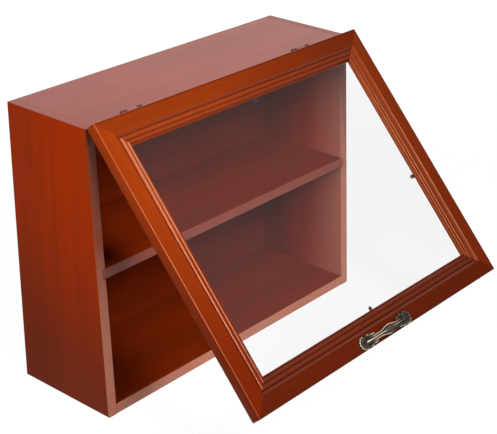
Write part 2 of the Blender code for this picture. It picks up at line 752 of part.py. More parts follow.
def knuckle_outline(side):
    """Keyhole section of a leaf at one of its knuckles: the barrel and the strip that runs down from it."""
    near, far = LEAF_GAP / 2, LEAF_GAP / 2 + LEAF_THICKNESS
    start = -QUARTER_TURN + math.asin(far / BARREL_RADIUS)
    end = 3 * QUARTER_TURN + math.asin(near / BARREL_RADIUS)
    ring = arc((0, 0), BARREL_RADIUS, start, end, ROUND_SIDES)
    low = -BARREL_RADIUS - BARREL_CLEARANCE - LEAF_THICKNESS
    outline = [*ring, (near, low), (far, low)]
    return [(side * y, z) for y, z in outline]


def make_leaf(name, side, spans, axis, x):
    """One hinge leaf: side 1 is the case's and side -1 is the door's. spans are its knuckles along the pin."""
    near, far = LEAF_GAP / 2, LEAF_GAP / 2 + LEAF_THICKNESS
    ys = sorted((side * near, side * far))
    top = -BARREL_RADIUS - BARREL_CLEARANCE
    half = HINGE_LENGTH / 2
    at = Matrix.Translation((x, 0, 0))
    plate = box(name, (-half, ys[0], -LEAF_WIDTH), (half, ys[1], top))
    leaf = piece(name, plate, BRONZE, at, axis)
    for number, (low, high) in enumerate(spans):
        knuckle = prism(f"{name}_knuckle_{number}", knuckle_outline(side), low, high)
        join(leaf, cutter(f"{name}_knuckle_{number}", knuckle, at, axis))
    bore = rod(name + "_bore", PIN_RADIUS + BORE_CLEARANCE, HINGE_LENGTH + OVERRUN, ROUND_SIDES)
    cut([leaf], cutter(name + "_bore", bore, at @ Matrix.Rotation(QUARTER_TURN, 4, "Y"), axis))
    return leaf


def cut_mortise(board, name, side, axis, x):
    """The recess for a leaf, cut from the same sizes as the leaf. The barrel stands clear above it."""
    far = LEAF_GAP / 2 + LEAF_THICKNESS + MORTISE_CLEARANCE
    ys = sorted((side * far, -side * OVERRUN))
    half = HINGE_LENGTH / 2 + MORTISE_CLEARANCE
    low = -LEAF_WIDTH - MORTISE_CLEARANCE
    at = Matrix.Translation((x, 0, 0))
    slot = box(name, (-half, ys[0], low), (half, ys[1], OVERRUN))
    cut([board], cutter(name, slot, at, axis))


def make_hinge(hand, side, inset, case_axis, door_axis, top_panel, top_rail):
    """A butt hinge: case leaf with the end knuckles, door leaf with the middle one, pin and screws."""
    x = side * (CASE_WIDTH / 2 - inset)
    half = HINGE_LENGTH / 2
    shoulder = half - END_KNUCKLE
    ends = [(-half, -shoulder), (shoulder, half)]
    middle = [(-shoulder + KNUCKLE_GAP, shoulder - KNUCKLE_GAP)]
    case_leaf = make_leaf(f"{hand}_hinge_case_leaf", 1, ends, case_axis, x)
    door_leaf = make_leaf(f"{hand}_hinge_door_leaf", -1, middle, door_axis, x)
    cut_mortise(top_panel, f"{hand}_case_mortise", 1, case_axis, x)
    cut_mortise(top_rail, f"{hand}_door_mortise", -1, door_axis, x)
    head_start = half + KNUCKLE_GAP / 2
    profile = [
        (0, head_start + PIN_HEAD),
        (PIN_HEAD_RADIUS, head_start + PIN_HEAD),
        (PIN_HEAD_RADIUS, head_start),
        (PIN_RADIUS, head_start),
        (PIN_RADIUS, -half),
        (0, -half),
    ]
    outward = Matrix.Translation((x, 0, 0)) @ Matrix.Rotation(side * QUARTER_TURN, 4, "Y")
    turned(f"{hand}_hinge_pin", profile, BRONZE, outward, case_axis, ROUND_SIDES)
    depth = -PIN_RISE - BOARD / 2
    face = LEAF_GAP / 2
    sets = (("case", 1, case_axis, [case_leaf, top_panel]), ("door", -1, door_axis, [door_leaf, top_rail]))
    for member, way, axis, held in sets:
        for number, step in ((1, -1), (2, 1)):
            spot = place(x + step * HINGE_SCREW_SPREAD / 2, way * face, depth, "X", way * QUARTER_TURN)
            name = f"{hand}_hinge_{member}_screw_{number}"
            screw_and_hole(name, HINGE_SCREW, BRONZE, spot, axis, held)


def hinge_axis(name, opening):
    """An empty on the pins' line, turned with the lean and by the door's opening."""
    empty = bpy.data.objects.new(name, None)
    PARTS.objects.link(empty)
    out = Vector((0, -math.cos(LEAN), math.sin(LEAN)))
    up = Vector((0, math.sin(LEAN), math.cos(LEAN)))
    corner = Vector((0, front_y(CASE_HEIGHT), CASE_HEIGHT))
    pin = corner + out * (DOOR_GAP / 2) + up * PIN_RISE
    empty.matrix_basis = Matrix.Translation(pin) @ Matrix.Rotation(-LEAN - opening, 4, "X")
    return empty


clear_scene()
PARTS = new_collection("display_case")
CUTTERS = new_collection("cutters")
case_boards = make_carcass()
case_axis_empty = hinge_axis("case_hinge_axis", 0.0)
door_axis_empty = hinge_axis("door_hinge_axis", math.radians(DOOR_OPENING_DEG))
door_members = make_door(door_axis_empty)
for hinge_hand, hinge_side, hinge_inset in (("left", -1, LEFT_HINGE_INSET), ("right", 1, RIGHT_HINGE_INSET)):
    make_hinge(
        hinge_hand,
        hinge_side,
        hinge_inset,
        case_axis_empty,
        door_axis_empty,
        case_boards["top_panel"],
        door_members["door_top_rail"],
    )
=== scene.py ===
"""Looks of the tabletop display case.

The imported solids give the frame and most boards. Finer pieces stand in for the moulded door members, the
glass clips, the hinges, the screws and the cast pull. Metres, +Z up, and the front faces -Y.
"""

import json
import logging
import math
from dataclasses import dataclass
from enum import Enum

import bmesh
import bpy
import numpy as np
from mathutils import Euler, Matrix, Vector


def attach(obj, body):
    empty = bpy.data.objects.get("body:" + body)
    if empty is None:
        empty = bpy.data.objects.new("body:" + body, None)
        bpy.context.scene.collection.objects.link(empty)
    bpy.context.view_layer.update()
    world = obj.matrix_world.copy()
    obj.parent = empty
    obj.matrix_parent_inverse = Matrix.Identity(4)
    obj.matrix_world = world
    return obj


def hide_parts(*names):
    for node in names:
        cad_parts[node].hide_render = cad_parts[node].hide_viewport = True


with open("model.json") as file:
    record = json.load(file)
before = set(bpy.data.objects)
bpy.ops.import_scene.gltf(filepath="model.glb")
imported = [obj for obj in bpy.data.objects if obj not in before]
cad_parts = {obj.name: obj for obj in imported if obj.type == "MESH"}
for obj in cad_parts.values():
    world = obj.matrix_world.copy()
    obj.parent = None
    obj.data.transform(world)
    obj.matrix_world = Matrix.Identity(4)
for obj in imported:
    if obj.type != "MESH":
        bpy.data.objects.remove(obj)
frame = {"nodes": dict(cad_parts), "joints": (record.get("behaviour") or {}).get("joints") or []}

LOG = logging.getLogger("display_case")
Colour = tuple[float, float, float]
Triple = tuple[float, float, float]
Inputs = dict[int | str, object]

# Points closer than this are one point.
TINY = 1e-6

# Cycles in a metre along a board's grain and across it, for each layer of its figure.
BAND = (1.4, 26.0, 26.0)
STREAK = (5.0, 150.0, 150.0)
CLOUD = (7.0, 11.0, 11.0)
PORE = (30.0, 1300.0, 1300.0)
NO_TURN = (0.0, 0.0, 0.0)


class Rides(Enum):
    """The body that a piece moves with."""

    CASE = "case"
    DOOR = "door"


class Slot(Enum):
    """The names of the record's material slots. No piece here is given one."""

    WOOD = "stained_wood"
    BRONZE = "antique_bronze"
    BLACK = "blackened_steel"


class Axis(Enum):
    """A coordinate of the row frame."""

    X = 0
    Y = 1
    Z = 2


class Grain(Enum):
    """Turn, in degrees, that brings a board's grain onto X."""

    ACROSS = (0.0, 0.0, 0.0)
    UPRIGHT = (0.0, 90.0, 0.0)
    UP_THE_DOOR = (41.526, 90.0, 0.0)


class Value:
    """A number in a material's nodes. Arithmetic on it adds Math nodes."""

    def __init__(self, graph: "Graph", socket: bpy.types.NodeSocket) -> None:
        """Wrap a socket.

        Args:
            graph: The material's node builder.
            socket: The output that carries the number.
        """
        self.graph = graph
        self.socket = socket

    def _math(self, operation: str, *terms: "Value | float") -> "Value":
        """Add a Math node.

        Args:
            operation: The node's operation.
            terms: Its inputs, in order.

        Returns:
            The node's result.
        """
        node = self.graph.node("ShaderNodeMath", {"operation": operation}, dict(enumerate(terms)))
        return Value(self.graph, node.outputs[0])

    def __add__(self, other: "Value | float") -> "Value":
        """Sum."""
        return self._math("ADD", self, other)

    def __radd__(self, other: float) -> "Value":
        """Sum with a number on the left."""
        return self._math("ADD", other, self)

    def __sub__(self, other: "Value | float") -> "Value":
        """Difference."""
        return self._math("SUBTRACT", self, other)

    def __rsub__(self, other: float) -> "Value":
        """Difference from a number on the left."""
        return self._math("SUBTRACT", other, self)

    def __mul__(self, other: "Value | float") -> "Value":
        """Product."""
        return self._math("MULTIPLY", self, other)

    def most(self, other: "Value | float") -> "Value":
        """The larger of the two."""
        return self._math("MAXIMUM", self, other)

    def ease(self, low: float, high: float) -> "Value":
        """A smooth step from 0 at low to 1 at high.

        Args:
            low: Where the step starts.
            high: Where it ends.

        Returns:
            The stepped value.
        """
        settings = {"interpolation_type": "SMOOTHSTEP"}
        node = self.graph.node("ShaderNodeMapRange", settings, {0: self, 1: low, 2: high, 3: 0.0, 4: 1.0})
        return Value(self.graph, node.outputs[0])

    def size(self) -> "Value":
        """The value without its sign."""
        return self._math("ABSOLUTE", self)

    def clamped(self) -> "Value":
        """The value held between 0 and 1."""
        node = self.graph.node("ShaderNodeClamp", {}, {0: self, 1: 0.0, 2: 1.0})
        return Value(self.graph, node.outputs[0])


class Graph:
    """Builds the nodes of one material or of the world."""

    def __init__(self, owner: bpy.types.Material | bpy.types.World) -> None:
        """Start from an empty tree.

        Args:
            owner: The material or world that the nodes belong to.
        """
        owner.use_nodes = True
        self.tree = owner.node_tree
        self.tree.nodes.clear()

    def node(self, kind: str, settings: dict[str, object], inputs: Inputs) -> bpy.types.Node:
        """Add a node, set it up, then feed it.

        Args:
            kind: The node's type.
            settings: Its own properties, set first.
            inputs: What each socket gets: a Value, an output socket, or a constant.

        Returns:
            The new node.
        """
        node = self.tree.nodes.new(kind)
        for name, value in settings.items():
            setattr(node, name, value)
        for key, value in inputs.items():
            socket = node.inputs[key]
            if isinstance(value, Value):
                self.tree.links.new(value.socket, socket)
            elif isinstance(value, bpy.types.NodeSocket):
                self.tree.links.new(value, socket)
            elif isinstance(value, tuple) and socket.type == "RGBA":
                socket.default_value = (*value, 1.0)
            else:
                socket.default_value = value
        return node

    def value(self, node: bpy.types.Node, output: int | str = 0) -> Value:
        """One output of a node, as a Value."""
        return Value(self, node.outputs[output])

    def source(self, output: str) -> bpy.types.NodeSocket:
        """One of the texture coordinates."""
        return self.node("ShaderNodeTexCoord", {}, {}).outputs[output]

    def coordinate(self, axis: Axis) -> Value:
        """One coordinate of a point in the row frame."""
        return self.value(self.node("ShaderNodeSeparateXYZ", {}, {0: self.source("Object")}), axis.value)

    def wear_and_light(self) -> Value:
        """How rubbed a point is, and the painted highlight and shade that it carries, from the mesh's own
        attribute.
        """
        return self.value(self.node("ShaderNodeAttribute", {"attribute_name": "wear_and_light"}, {}), "Fac")

    def place(self, turn: Triple, shift: float) -> bpy.types.NodeSocket:
        """Object coordinates, turned so that the grain runs along X.

        Args:
            turn: The turn in degrees about X, Y and Z.
            shift: How far the pattern is moved, so that no two boards share it.

        Returns:
            The turned coordinates.
        """
        radians = tuple(math.radians(angle) for angle in turn)
        moved = (shift, shift * 2, shift * 3)
        inputs = {"Vector": self.source("Object"), "Rotation": radians, "Location": moved}
        return self.node("ShaderNodeMapping", {"vector_type": "POINT"}, inputs).outputs[0]

    def noise(self, place: bpy.types.NodeSocket, stretch: Triple, detail: float) -> Value:
        """Noise with its own frequency along each axis.

        Args:
            place: Coordinates in metres.
            stretch: Cycles in a metre along X, Y and Z.
            detail: How many finer layers it has.

        Returns:
            The noise, from 0 to 1.
        """
        scaled = self.node("ShaderNodeVectorMath", {"operation": "MULTIPLY"}, {0: place, 1: stretch})
        inputs = {"Vector": scaled.outputs[0], "Scale": 1.0, "Detail": detail, "Roughness": 0.55}
        return self.value(self.node("ShaderNodeTexNoise", {}, inputs))

    def mix(self, share: Value | float, low: object, high: object) -> bpy.types.NodeSocket:
        """A blend of two colours.

        Args:
            share: 0 gives low and 1 gives high.
            low: A colour or a colour socket.
            high: A colour or a colour socket.

        Returns:
            The blended colour.
        """
        node = self.node("ShaderNodeMix", {"data_type": "RGBA"}, {0: share, 6: low, 7: high})
        return node.outputs[2]

    def bump(self, height: Value, distance: float, strength: float) -> bpy.types.NodeSocket:
        """A bumped normal.

        Args:
            height: The relief, from 0 to 1.
            distance: Its depth in metres.
            strength: How much of it counts.

        Returns:
            The normal.
        """
        inputs = {"Height": height, "Distance": distance, "Strength": strength}
        return self.node("ShaderNodeBump", {}, inputs).outputs[0]

    def rays(self) -> tuple[Value, Value, Value]:
        """What kind of ray meets a piece of the studio.

        Returns:
            1 for rays that show it as the background, from the camera or through the glass, 1 for rays that
            a surface mirrors, and 1 for rays that light a surface without passing the glass.
        """
        node = self.node("ShaderNodeLightPath", {}, {})
        scattered = self.value(node, "Diffuse Depth").clamped()
        mirrored = self.value(node, "Glossy Depth").clamped() * (1.0 - scattered)
        through = self.value(node, "Is Transmission Ray")
        seen = self.value(node, "Is Camera Ray").most(through * (1.0 - scattered) * (1.0 - mirrored))
        return seen, mirrored, scattered * (1.0 - through)

    def surface(self, inputs: Inputs) -> None:
        """Add the Principled shader and join it to the output."""
        shader = self.node("ShaderNodeBsdfPrincipled", {}, inputs)
        self.node("ShaderNodeOutputMaterial", {}, {"Surface": shader.outputs[0]})


@dataclass(frozen=True)
class Fade:
    """A slow change of a board's tone along one coordinate, from start to end. Several boards use it for
    painted light and shade.
    """

    axis: Axis
    start: float
    end: float
    tone: Colour
    share: float

    def over(self, graph: Graph, colour: bpy.types.NodeSocket) -> bpy.types.NodeSocket:
        """Blend the tone over a colour."""
        share = graph.coordinate(self.axis).ease(self.start, self.end) * self.share
        return graph.mix(share, colour, self.tone)


@dataclass(frozen=True)
class Wood:
    """Red-brown stained wood under lacquer: streaks along the grain, uneven stain and fine pores."""

    name: str
    light: Colour
    dark: Colour
    grain: Grain
    shift: float
    gloss: float = 0.30
    specular: float = 0.18
    glow: Colour = (1.0, 0.58, 0.40)
    figure: float = 1.0
    fades: tuple[Fade, ...] = ()
    pore_tone: Colour = (0.045, 0.008, 0.003)

    def material(self) -> bpy.types.Material:
        """Make the material.

        The tone is a weighted sum of a broad band, a streak and a cloud of noise, each long along the grain.
        The pore mask is the top end of a very fine noise.

        Returns:
            The material.
        """
        made = bpy.data.materials.new(self.name)
        graph = Graph(made)
        along = graph.place(self.grain.value, self.shift)
        band = graph.noise(along, BAND, 2.0) - 0.5
        streak = graph.noise(along, STREAK, 3.0)
        cloud = graph.noise(along, CLOUD, 3.0) - 0.5
        pore = graph.noise(along, PORE, 2.0).ease(0.60, 0.74)
        spread = band * (2.0 * self.figure) + (streak - 0.5) * (1.1 * self.figure) + cloud * 0.9
        tone = (spread + 0.55).clamped()
        graph.surface(
            {
                "Base Color": self.stain(graph, tone, pore),
                "Roughness": self.roughness(graph, tone, pore),
                "Specular IOR Level": self.specular,
                "Specular Tint": self.glow,
                "Normal": graph.bump(streak * 0.35 + (1.0 - pore) * 0.65, 0.00010, 0.25),
                **self.lacquer(graph),
            }
        )
        return made

    def stain(self, graph: Graph, tone: Value, pore: Value) -> bpy.types.NodeSocket:
        """The board's colour.

        Args:
            graph: The material's nodes.
            tone: 0 in the dark streaks and 1 in the light ones.
            pore: 1 in the pores.

        Returns:
            The colour.
        """
        colour = graph.mix(tone, self.dark, self.light)
        for fade in self.fades:
            colour = fade.over(graph, colour)
        return graph.mix(pore * 0.30, self.worn_and_lit(graph, colour), self.pore_tone)

    def worn_and_lit(self, graph: Graph, colour: bpy.types.NodeSocket) -> bpy.types.NodeSocket:
        """The colour after rubbing and painted light; a flat board is left as it is."""
        return colour

    def roughness(self, graph: Graph, tone: Value, pore: Value) -> Value:
        """How rough the finish is: least on the light streaks, more on the dark ones and in the pores."""
        return self.gloss + (1.0 - tone) * 0.06 + pore * 0.08

    def lacquer(self, graph: Graph) -> Inputs:
        """What the shader's coat gets, which is nothing here."""
        return {}


@dataclass(frozen=True)
class MouldedWood(Wood):
    """A member of the door: painted shade darkens its quirks and a painted highlight lightens its crests."""

    gloss: float = 0.17
    specular: float = 0.54
    glow: Colour = (1.0, 0.44, 0.22)
    figure: float = 0.8
    # Painted shade for the quirks, and a painted highlight for the crests, whose share grows high on the
    # door.
    quirk_shade_tone: Colour = (0.055, 0.006, 0.001)
    crest_highlight_tone: Colour = (0.750, 0.280, 0.140)
    crest_highlight_share: float = 0.0

    def worn_and_lit(self, graph: Graph, colour: bpy.types.NodeSocket) -> bpy.types.NodeSocket:
        """The colour with painted light: painted shade in the quirks and on the rails' outer edges, and a
        painted highlight on the crests, most so high on the door.

        Args:
            graph: The material's nodes.
            colour: The stain's colour.

        Returns:
            The colour.
        """
        wear_and_light = graph.wear_and_light()
        # Painted shade where the rubbed-and-lit value is low.
        colour = graph.mix(wear_and_light.ease(0.45, 0.0) * 0.45, colour, self.quirk_shade_tone)
        # Painted highlight where that value is high, most so high on the door.
        high = graph.coordinate(Axis.Z).ease(0.22, 0.32) * self.crest_highlight_share + 0.05
        return graph.mix(wear_and_light.ease(0.70, 1.0) * high, colour, self.crest_highlight_tone)

    def roughness(self, graph: Graph, tone: Value, pore: Value) -> Value:
        """How rough the finish is: more in the quirks and low on the door, less on the crests.

        Args:
            graph: The material's nodes.
            tone: 0 in the dark streaks and 1 in the light ones.
            pore: 1 in the pores.

        Returns:
            The roughness.
        """
        even = super().roughness(graph, tone, pore)
        wear_and_light = graph.wear_and_light()
        low = graph.coordinate(Axis.Z).ease(0.30, 0.06)
        return even + wear_and_light.ease(0.45, 0.10) * 0.12 - wear_and_light.ease(0.60, 1.0) * 0.03 + low * 0.10


@dataclass(frozen=True)
class BoardWood(Wood):
    """A board of the carcass: paler and glossier on its sawn front edge, with painted light on that edge near
    the floor and painted shade on its faces inside the case.
    """

    edge: Colour = (0.170, 0.030, 0.008)
    # Painted light: the front edge's tone near the floor, as if lit by the floor.
    edge_low_lit: Colour = (0.520, 0.150, 0.070)
    # Painted shade on the faces inside the case, which a board may lighten towards the opening.
    inner_shade: Colour = (0.030, 0.004, 0.0006)
    inner_shade_front: Colour = (0.030, 0.004, 0.0006)
    inner_shade_share: float = 0.55
    edge_coat: float = 1.0
    cap: Colour = (0.290, 0.027, 0.0065)
    cap_share: float = 0.0

    def stain(self, graph: Graph, tone: Value, pore: Value) -> bpy.types.NodeSocket:
        """The board's colour, blended to its painted shade inside the case, to its top tone and to its edge
        tone, which is painted light near the floor, by where a point lies.

        Args:
            graph: The material's nodes.
            tone: 0 in the dark streaks and 1 in the light ones.
            pore: 1 in the pores.

        Returns:
            The colour.
        """
        colour = super().stain(graph, tone, pore)
        # Painted shade inside the case, lighter towards the front where a board sets it so.
        inner_shade = graph.mix(graph.coordinate(Axis.Y).ease(0.005, -0.068), self.inner_shade, self.inner_shade_front)
        colour = graph.mix(self._inside_shade(graph) * self.inner_shade_share, colour, inner_shade)
        # Painted light: the front edge grows paler towards the floor.
        edge = graph.mix(graph.coordinate(Axis.Z).ease(0.30, 0.0), self.edge, self.edge_low_lit)
        colour = graph.mix(self._top(graph) * self.cap_share, colour, self.cap)
        return graph.mix(self._front(graph) * 0.85, colour, edge)

    def lacquer(self, graph: Graph) -> Inputs:
        """The coat: thick on the front edge, most so at its foot and left, and thin on the case's top face.

        Args:
            graph: The material's nodes.

        Returns:
            What the shader's coat gets.
        """
        low = graph.coordinate(Axis.Z).ease(0.32, 0.02) * 0.8 + 0.2
        near = 1.0 - graph.coordinate(Axis.X).ease(-0.20, 0.16) * 0.62
        weight = self._front(graph) * low * near * self.edge_coat + self._top(graph) * 0.18
        return {"Coat Weight": weight.clamped(), "Coat Roughness": 0.14, "Coat IOR": 2.0}

    def _top(self, graph: Graph) -> Value:
        """Mask of the case's top face: 1 on it, 0 from 1.2 mm below it."""
        return graph.coordinate(Axis.Z).ease(CASE.height - 0.0012, CASE.height - 0.0005)

    def _front(self, graph: Graph) -> Value:
        """Mask of the sawn front edge: 1 on the leaning front plane, 0 from 1.2 mm behind it."""
        behind = graph.coordinate(Axis.Y) + CASE.base_depth / 2 - graph.coordinate(Axis.Z) * CASE.slope
        return 1.0 - behind.ease(0.0004, 0.0012)

    def _inside_shade(self, graph: Graph) -> Value:
        """Mask of the compartments' faces, where the painted shade goes: 1 within the boards' faces that look
        into the case, 0 outside them.

        Args:
            graph: The material's nodes.

        Returns:
            The mask.
        """
        reach = 0.0006
        wall, roof = CASE.width / 2 - CASE.board, CASE.height - CASE.board
        rear = CASE.base_depth / 2 - CASE.back_panel + 0.0002
        beside = graph.coordinate(Axis.X).size().ease(wall, wall + reach)
        above = graph.coordinate(Axis.Z).ease(roof, roof + reach)
        below = 1.0 - graph.coordinate(Axis.Z).ease(CASE.board - reach, CASE.board)
        behind = graph.coordinate(Axis.Y).ease(rear, rear + reach)
        return 1.0 - beside.most(above).most(below).most(behind)


@dataclass(frozen=True)
class PlainWood:
    """Unstained dowel wood."""

    name: str = "plain_beech"
    dark: Colour = (0.42, 0.27, 0.15)
    light: Colour = (0.68, 0.50, 0.32)

    def material(self) -> bpy.types.Material:
        """Make the material: a pale brown with short streaks.

        Returns:
            The material.
        """
        made = bpy.data.materials.new(self.name)
        graph = Graph(made)
        streak = graph.noise(graph.place(NO_TURN, 0.3), (60.0, 700.0, 700.0), 3.0)
        colour = graph.mix(streak, self.dark, self.light)
        graph.surface({"Base Color": colour, "Roughness": 0.55 + streak * 0.1})
        return made


@dataclass(frozen=True)
class Bronze:
    """Cast metal, darkened in its hollows, rubbed bright on its high places, and on the pull and hinges given
    painted highlight and shade.
    """

    name: str
    hollow: Colour = (0.016, 0.015, 0.012)
    body: Colour = (0.130, 0.115, 0.072)
    rubbed: Colour = (0.780, 0.610, 0.450)
    worn_and_lit: float = 1.0
    metal: float = 0.35

    def material(self) -> bpy.types.Material:
        """Make the material.

        The rubbing, and on the pull the painted highlight and shade, come from the mesh's own attribute,
        broken up by noise. Low values run from the hollow tone to the body tone, and high ones from there to
        the rubbed tone, which is partly painted highlight.

        Returns:
            The material.
        """
        made = bpy.data.materials.new(self.name)
        graph = Graph(made)
        speck = graph.noise(graph.place(NO_TURN, 0.1), (900.0, 900.0, 900.0), 3.0)
        wear_and_light = (graph.wear_and_light() + (speck - 0.5) * 0.35).clamped()
        high = wear_and_light.ease(0.55, 0.95) * self.worn_and_lit
        colour = graph.mix(wear_and_light.ease(0.05, 0.60), self.hollow, self.body)
        graph.surface(
            {
                "Base Color": graph.mix(high, colour, self.rubbed),
                "Metallic": high * (0.5 - self.metal) + self.metal,
                "Roughness": 0.46 - high * 0.16 + speck * 0.08,
                "Normal": graph.bump(speck, 0.00008, 0.4),
            }
        )
        return made


@dataclass(frozen=True)
class Steel:
    """Small steel parts, bright or blackened."""

    name: str
    tone: Colour
    metal: float
    rough: float

    def material(self) -> bpy.types.Material:
        """Make the material: one tone, mottled and scuffed by two scales of noise.

        Returns:
            The material.
        """
        made = bpy.data.materials.new(self.name)
        graph = Graph(made)
        place = graph.place(NO_TURN, 0.7)
        mottle = graph.noise(place, (300.0, 300.0, 300.0), 2.0)
        scuff = graph.noise(place, (2200.0, 240.0, 2200.0), 2.0)
        lighter = tuple(min(1.0, part * 1.7) for part in self.tone)
        graph.surface(
            {
                "Base Color": graph.mix(mottle, self.tone, lighter),
                "Metallic": self.metal,
                "Roughness": self.rough + (scuff - 0.5) * 0.18,
                "Normal": graph.bump(scuff, 0.00004, 0.3),
            }
        )
        return made


@dataclass(frozen=True)
class Pane:
    """Clear window glass. Light for shadows passes straight through it."""

    name: str = "window_glass"
    tint: Colour = (0.970, 0.970, 0.970)
    shade: Colour = (0.90, 0.90, 0.90)
    # A faint glow painted on the glass as the veil of reflection that it shows.
    painted_veil: Colour = (0.0155, 0.0145, 0.0155)
    index: float = 1.5

    def material(self) -> bpy.types.Material:
        """Make the material: clear glass with a faint even glow painted on as its reflection veil, open to
        shadow rays.

        Returns:
            The material.
        """
        made = bpy.data.materials.new(self.name)
        graph = Graph(made)
        film = graph.noise(graph.place(NO_TURN, 0.5), (9.0, 9.0, 9.0), 2.0)
        thin = tuple(part * 0.8 for part in self.painted_veil)
        glass = graph.node(
            "ShaderNodeBsdfPrincipled",
            {},
            {
                "Base Color": self.tint,
                "Roughness": 0.0,
                "IOR": self.index,
                "Transmission Weight": 1.0,
                # The glow is the painted reflection veil.
                "Emission Color": graph.mix(film, thin, self.painted_veil),
                "Emission Strength": 1.0,
            },
        )
        clear = graph.node("ShaderNodeBsdfTransparent", {}, {0: self.shade})
        shadow = graph.value(graph.node("ShaderNodeLightPath", {}, {}), "Is Shadow Ray")
        both = graph.node("ShaderNodeMixShader", {}, {0: shadow, 1: glass.outputs[0], 2: clear.outputs[0]})
        graph.node("ShaderNodeOutputMaterial", {}, {"Surface": both.outputs[0]})
        return made


@dataclass(frozen=True)
class CaseSizes:
    """The carcass."""

    width: float = 0.450
    height: float = 0.350
    top_depth: float = 0.1255
    base_depth: float = 0.144
    board: float = 0.0125
    back_panel: float = 0.004

    @property
    def slope(self) -> float:
        """How far the front leans back for each metre of height."""
        return (self.base_depth - self.top_depth) / self.height

    @property
    def lean(self) -> float:
        """Angle of the front, in radians from upright."""
        return math.atan(self.slope)


@dataclass(frozen=True)
class DoorSizes:
    """The door, in its own directions: X to the right, Y to the back and Z up, from the hinge pins."""

    thickness: float = 0.0135
    gap: float = 0.0010
    foot_clearance: float = 0.0005
    pin_rise: float = 0.0034
    frame_width: float = 0.036
    rebate: float = 0.006
    shoulder_depth: float = 0.0075
    glass: float = 0.002
    seat: float = 0.0002

    @property
    def back(self) -> float:
        """Y of the back face."""
        return -self.gap / 2

    @property
    def front(self) -> float:
        """Y of the front face."""
        return self.back - self.thickness

    @property
    def height(self) -> float:
        """Length of the door down its slope."""
        return (CASE.height - self.foot_clearance) / math.cos(CASE.lean)

    @property
    def middle(self) -> float:
        """Z of the middle of the door."""
        return -self.pin_rise - self.height / 2

    @property
    def glass_back(self) -> float:
        """Height of the pane's back over the door's back face."""
        return self.thickness - self.shoulder_depth - self.seat - self.glass


CASE = CaseSizes()
DOOR = DoorSizes()


class Edge(Enum):
    """An outer edge of the door: its turn in degrees from the bottom one, and its X and Z from the middle."""

    BOTTOM = (0, 0, -DOOR.height / 2)
    LEFT = (90, -CASE.width / 2, 0)
    TOP = (180, 0, DOOR.height / 2)
    RIGHT = (-90, CASE.width / 2, 0)

    def place(self, along: np.ndarray, inward: np.ndarray, height: np.ndarray) -> np.ndarray:
        """Bring points from the edge's directions to the door's.

        With t the turn, x is along times cos t plus inward times sin t, and z is inward times cos t less
        along times sin t, each from the edge's middle.

        Args:
            along: Distance along the edge from its middle.
            inward: Distance in from the edge.
            height: Height over the door's back face.

        Returns:
            Points by x, y, z.
        """
        turn, middle_x, middle_z = self.value
        c, s = math.cos(math.radians(turn)), math.sin(math.radians(turn))
        x = along * c + inward * s + middle_x
        z = -along * s + inward * c + middle_z + DOOR.middle
        return np.stack([x, np.broadcast_to(DOOR.back - height, x.shape), z], -1)


@dataclass(frozen=True)
class HingeLine:
    """The line of the pins, and a forward turn about it."""

    y: float
    z: float
    turn: float

    def carry(self, points: np.ndarray) -> np.ndarray:
        """Turn points about the pins and move them there.

        The new y is y cos t + z sin t, and the new z is z cos t - y sin t, each from the pins.

        Args:
            points: Any array whose last axis is x, y, z.

        Returns:
            The same points in the row frame.
        """
        x, y, z = points[..., 0], points[..., 1], points[..., 2]
        c, s = math.cos(self.turn), math.sin(self.turn)
        return np.stack([x, self.y + y * c + z * s, self.z + z * c - y * s], -1)


def hinge_lines() -> tuple[HingeLine, HingeLine]:
    """The pins' line with the case's turn, and with the open door's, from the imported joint.

    Returns:
        The line for pieces of the case, and the line for pieces of the door.
    """
    joint = frame["joints"][0]
    _, y, z = joint["pos_m"]
    opening = math.radians(-joint["range_deg"][0])
    return HingeLine(y, z, CASE.lean), HingeLine(y, z, CASE.lean + opening)


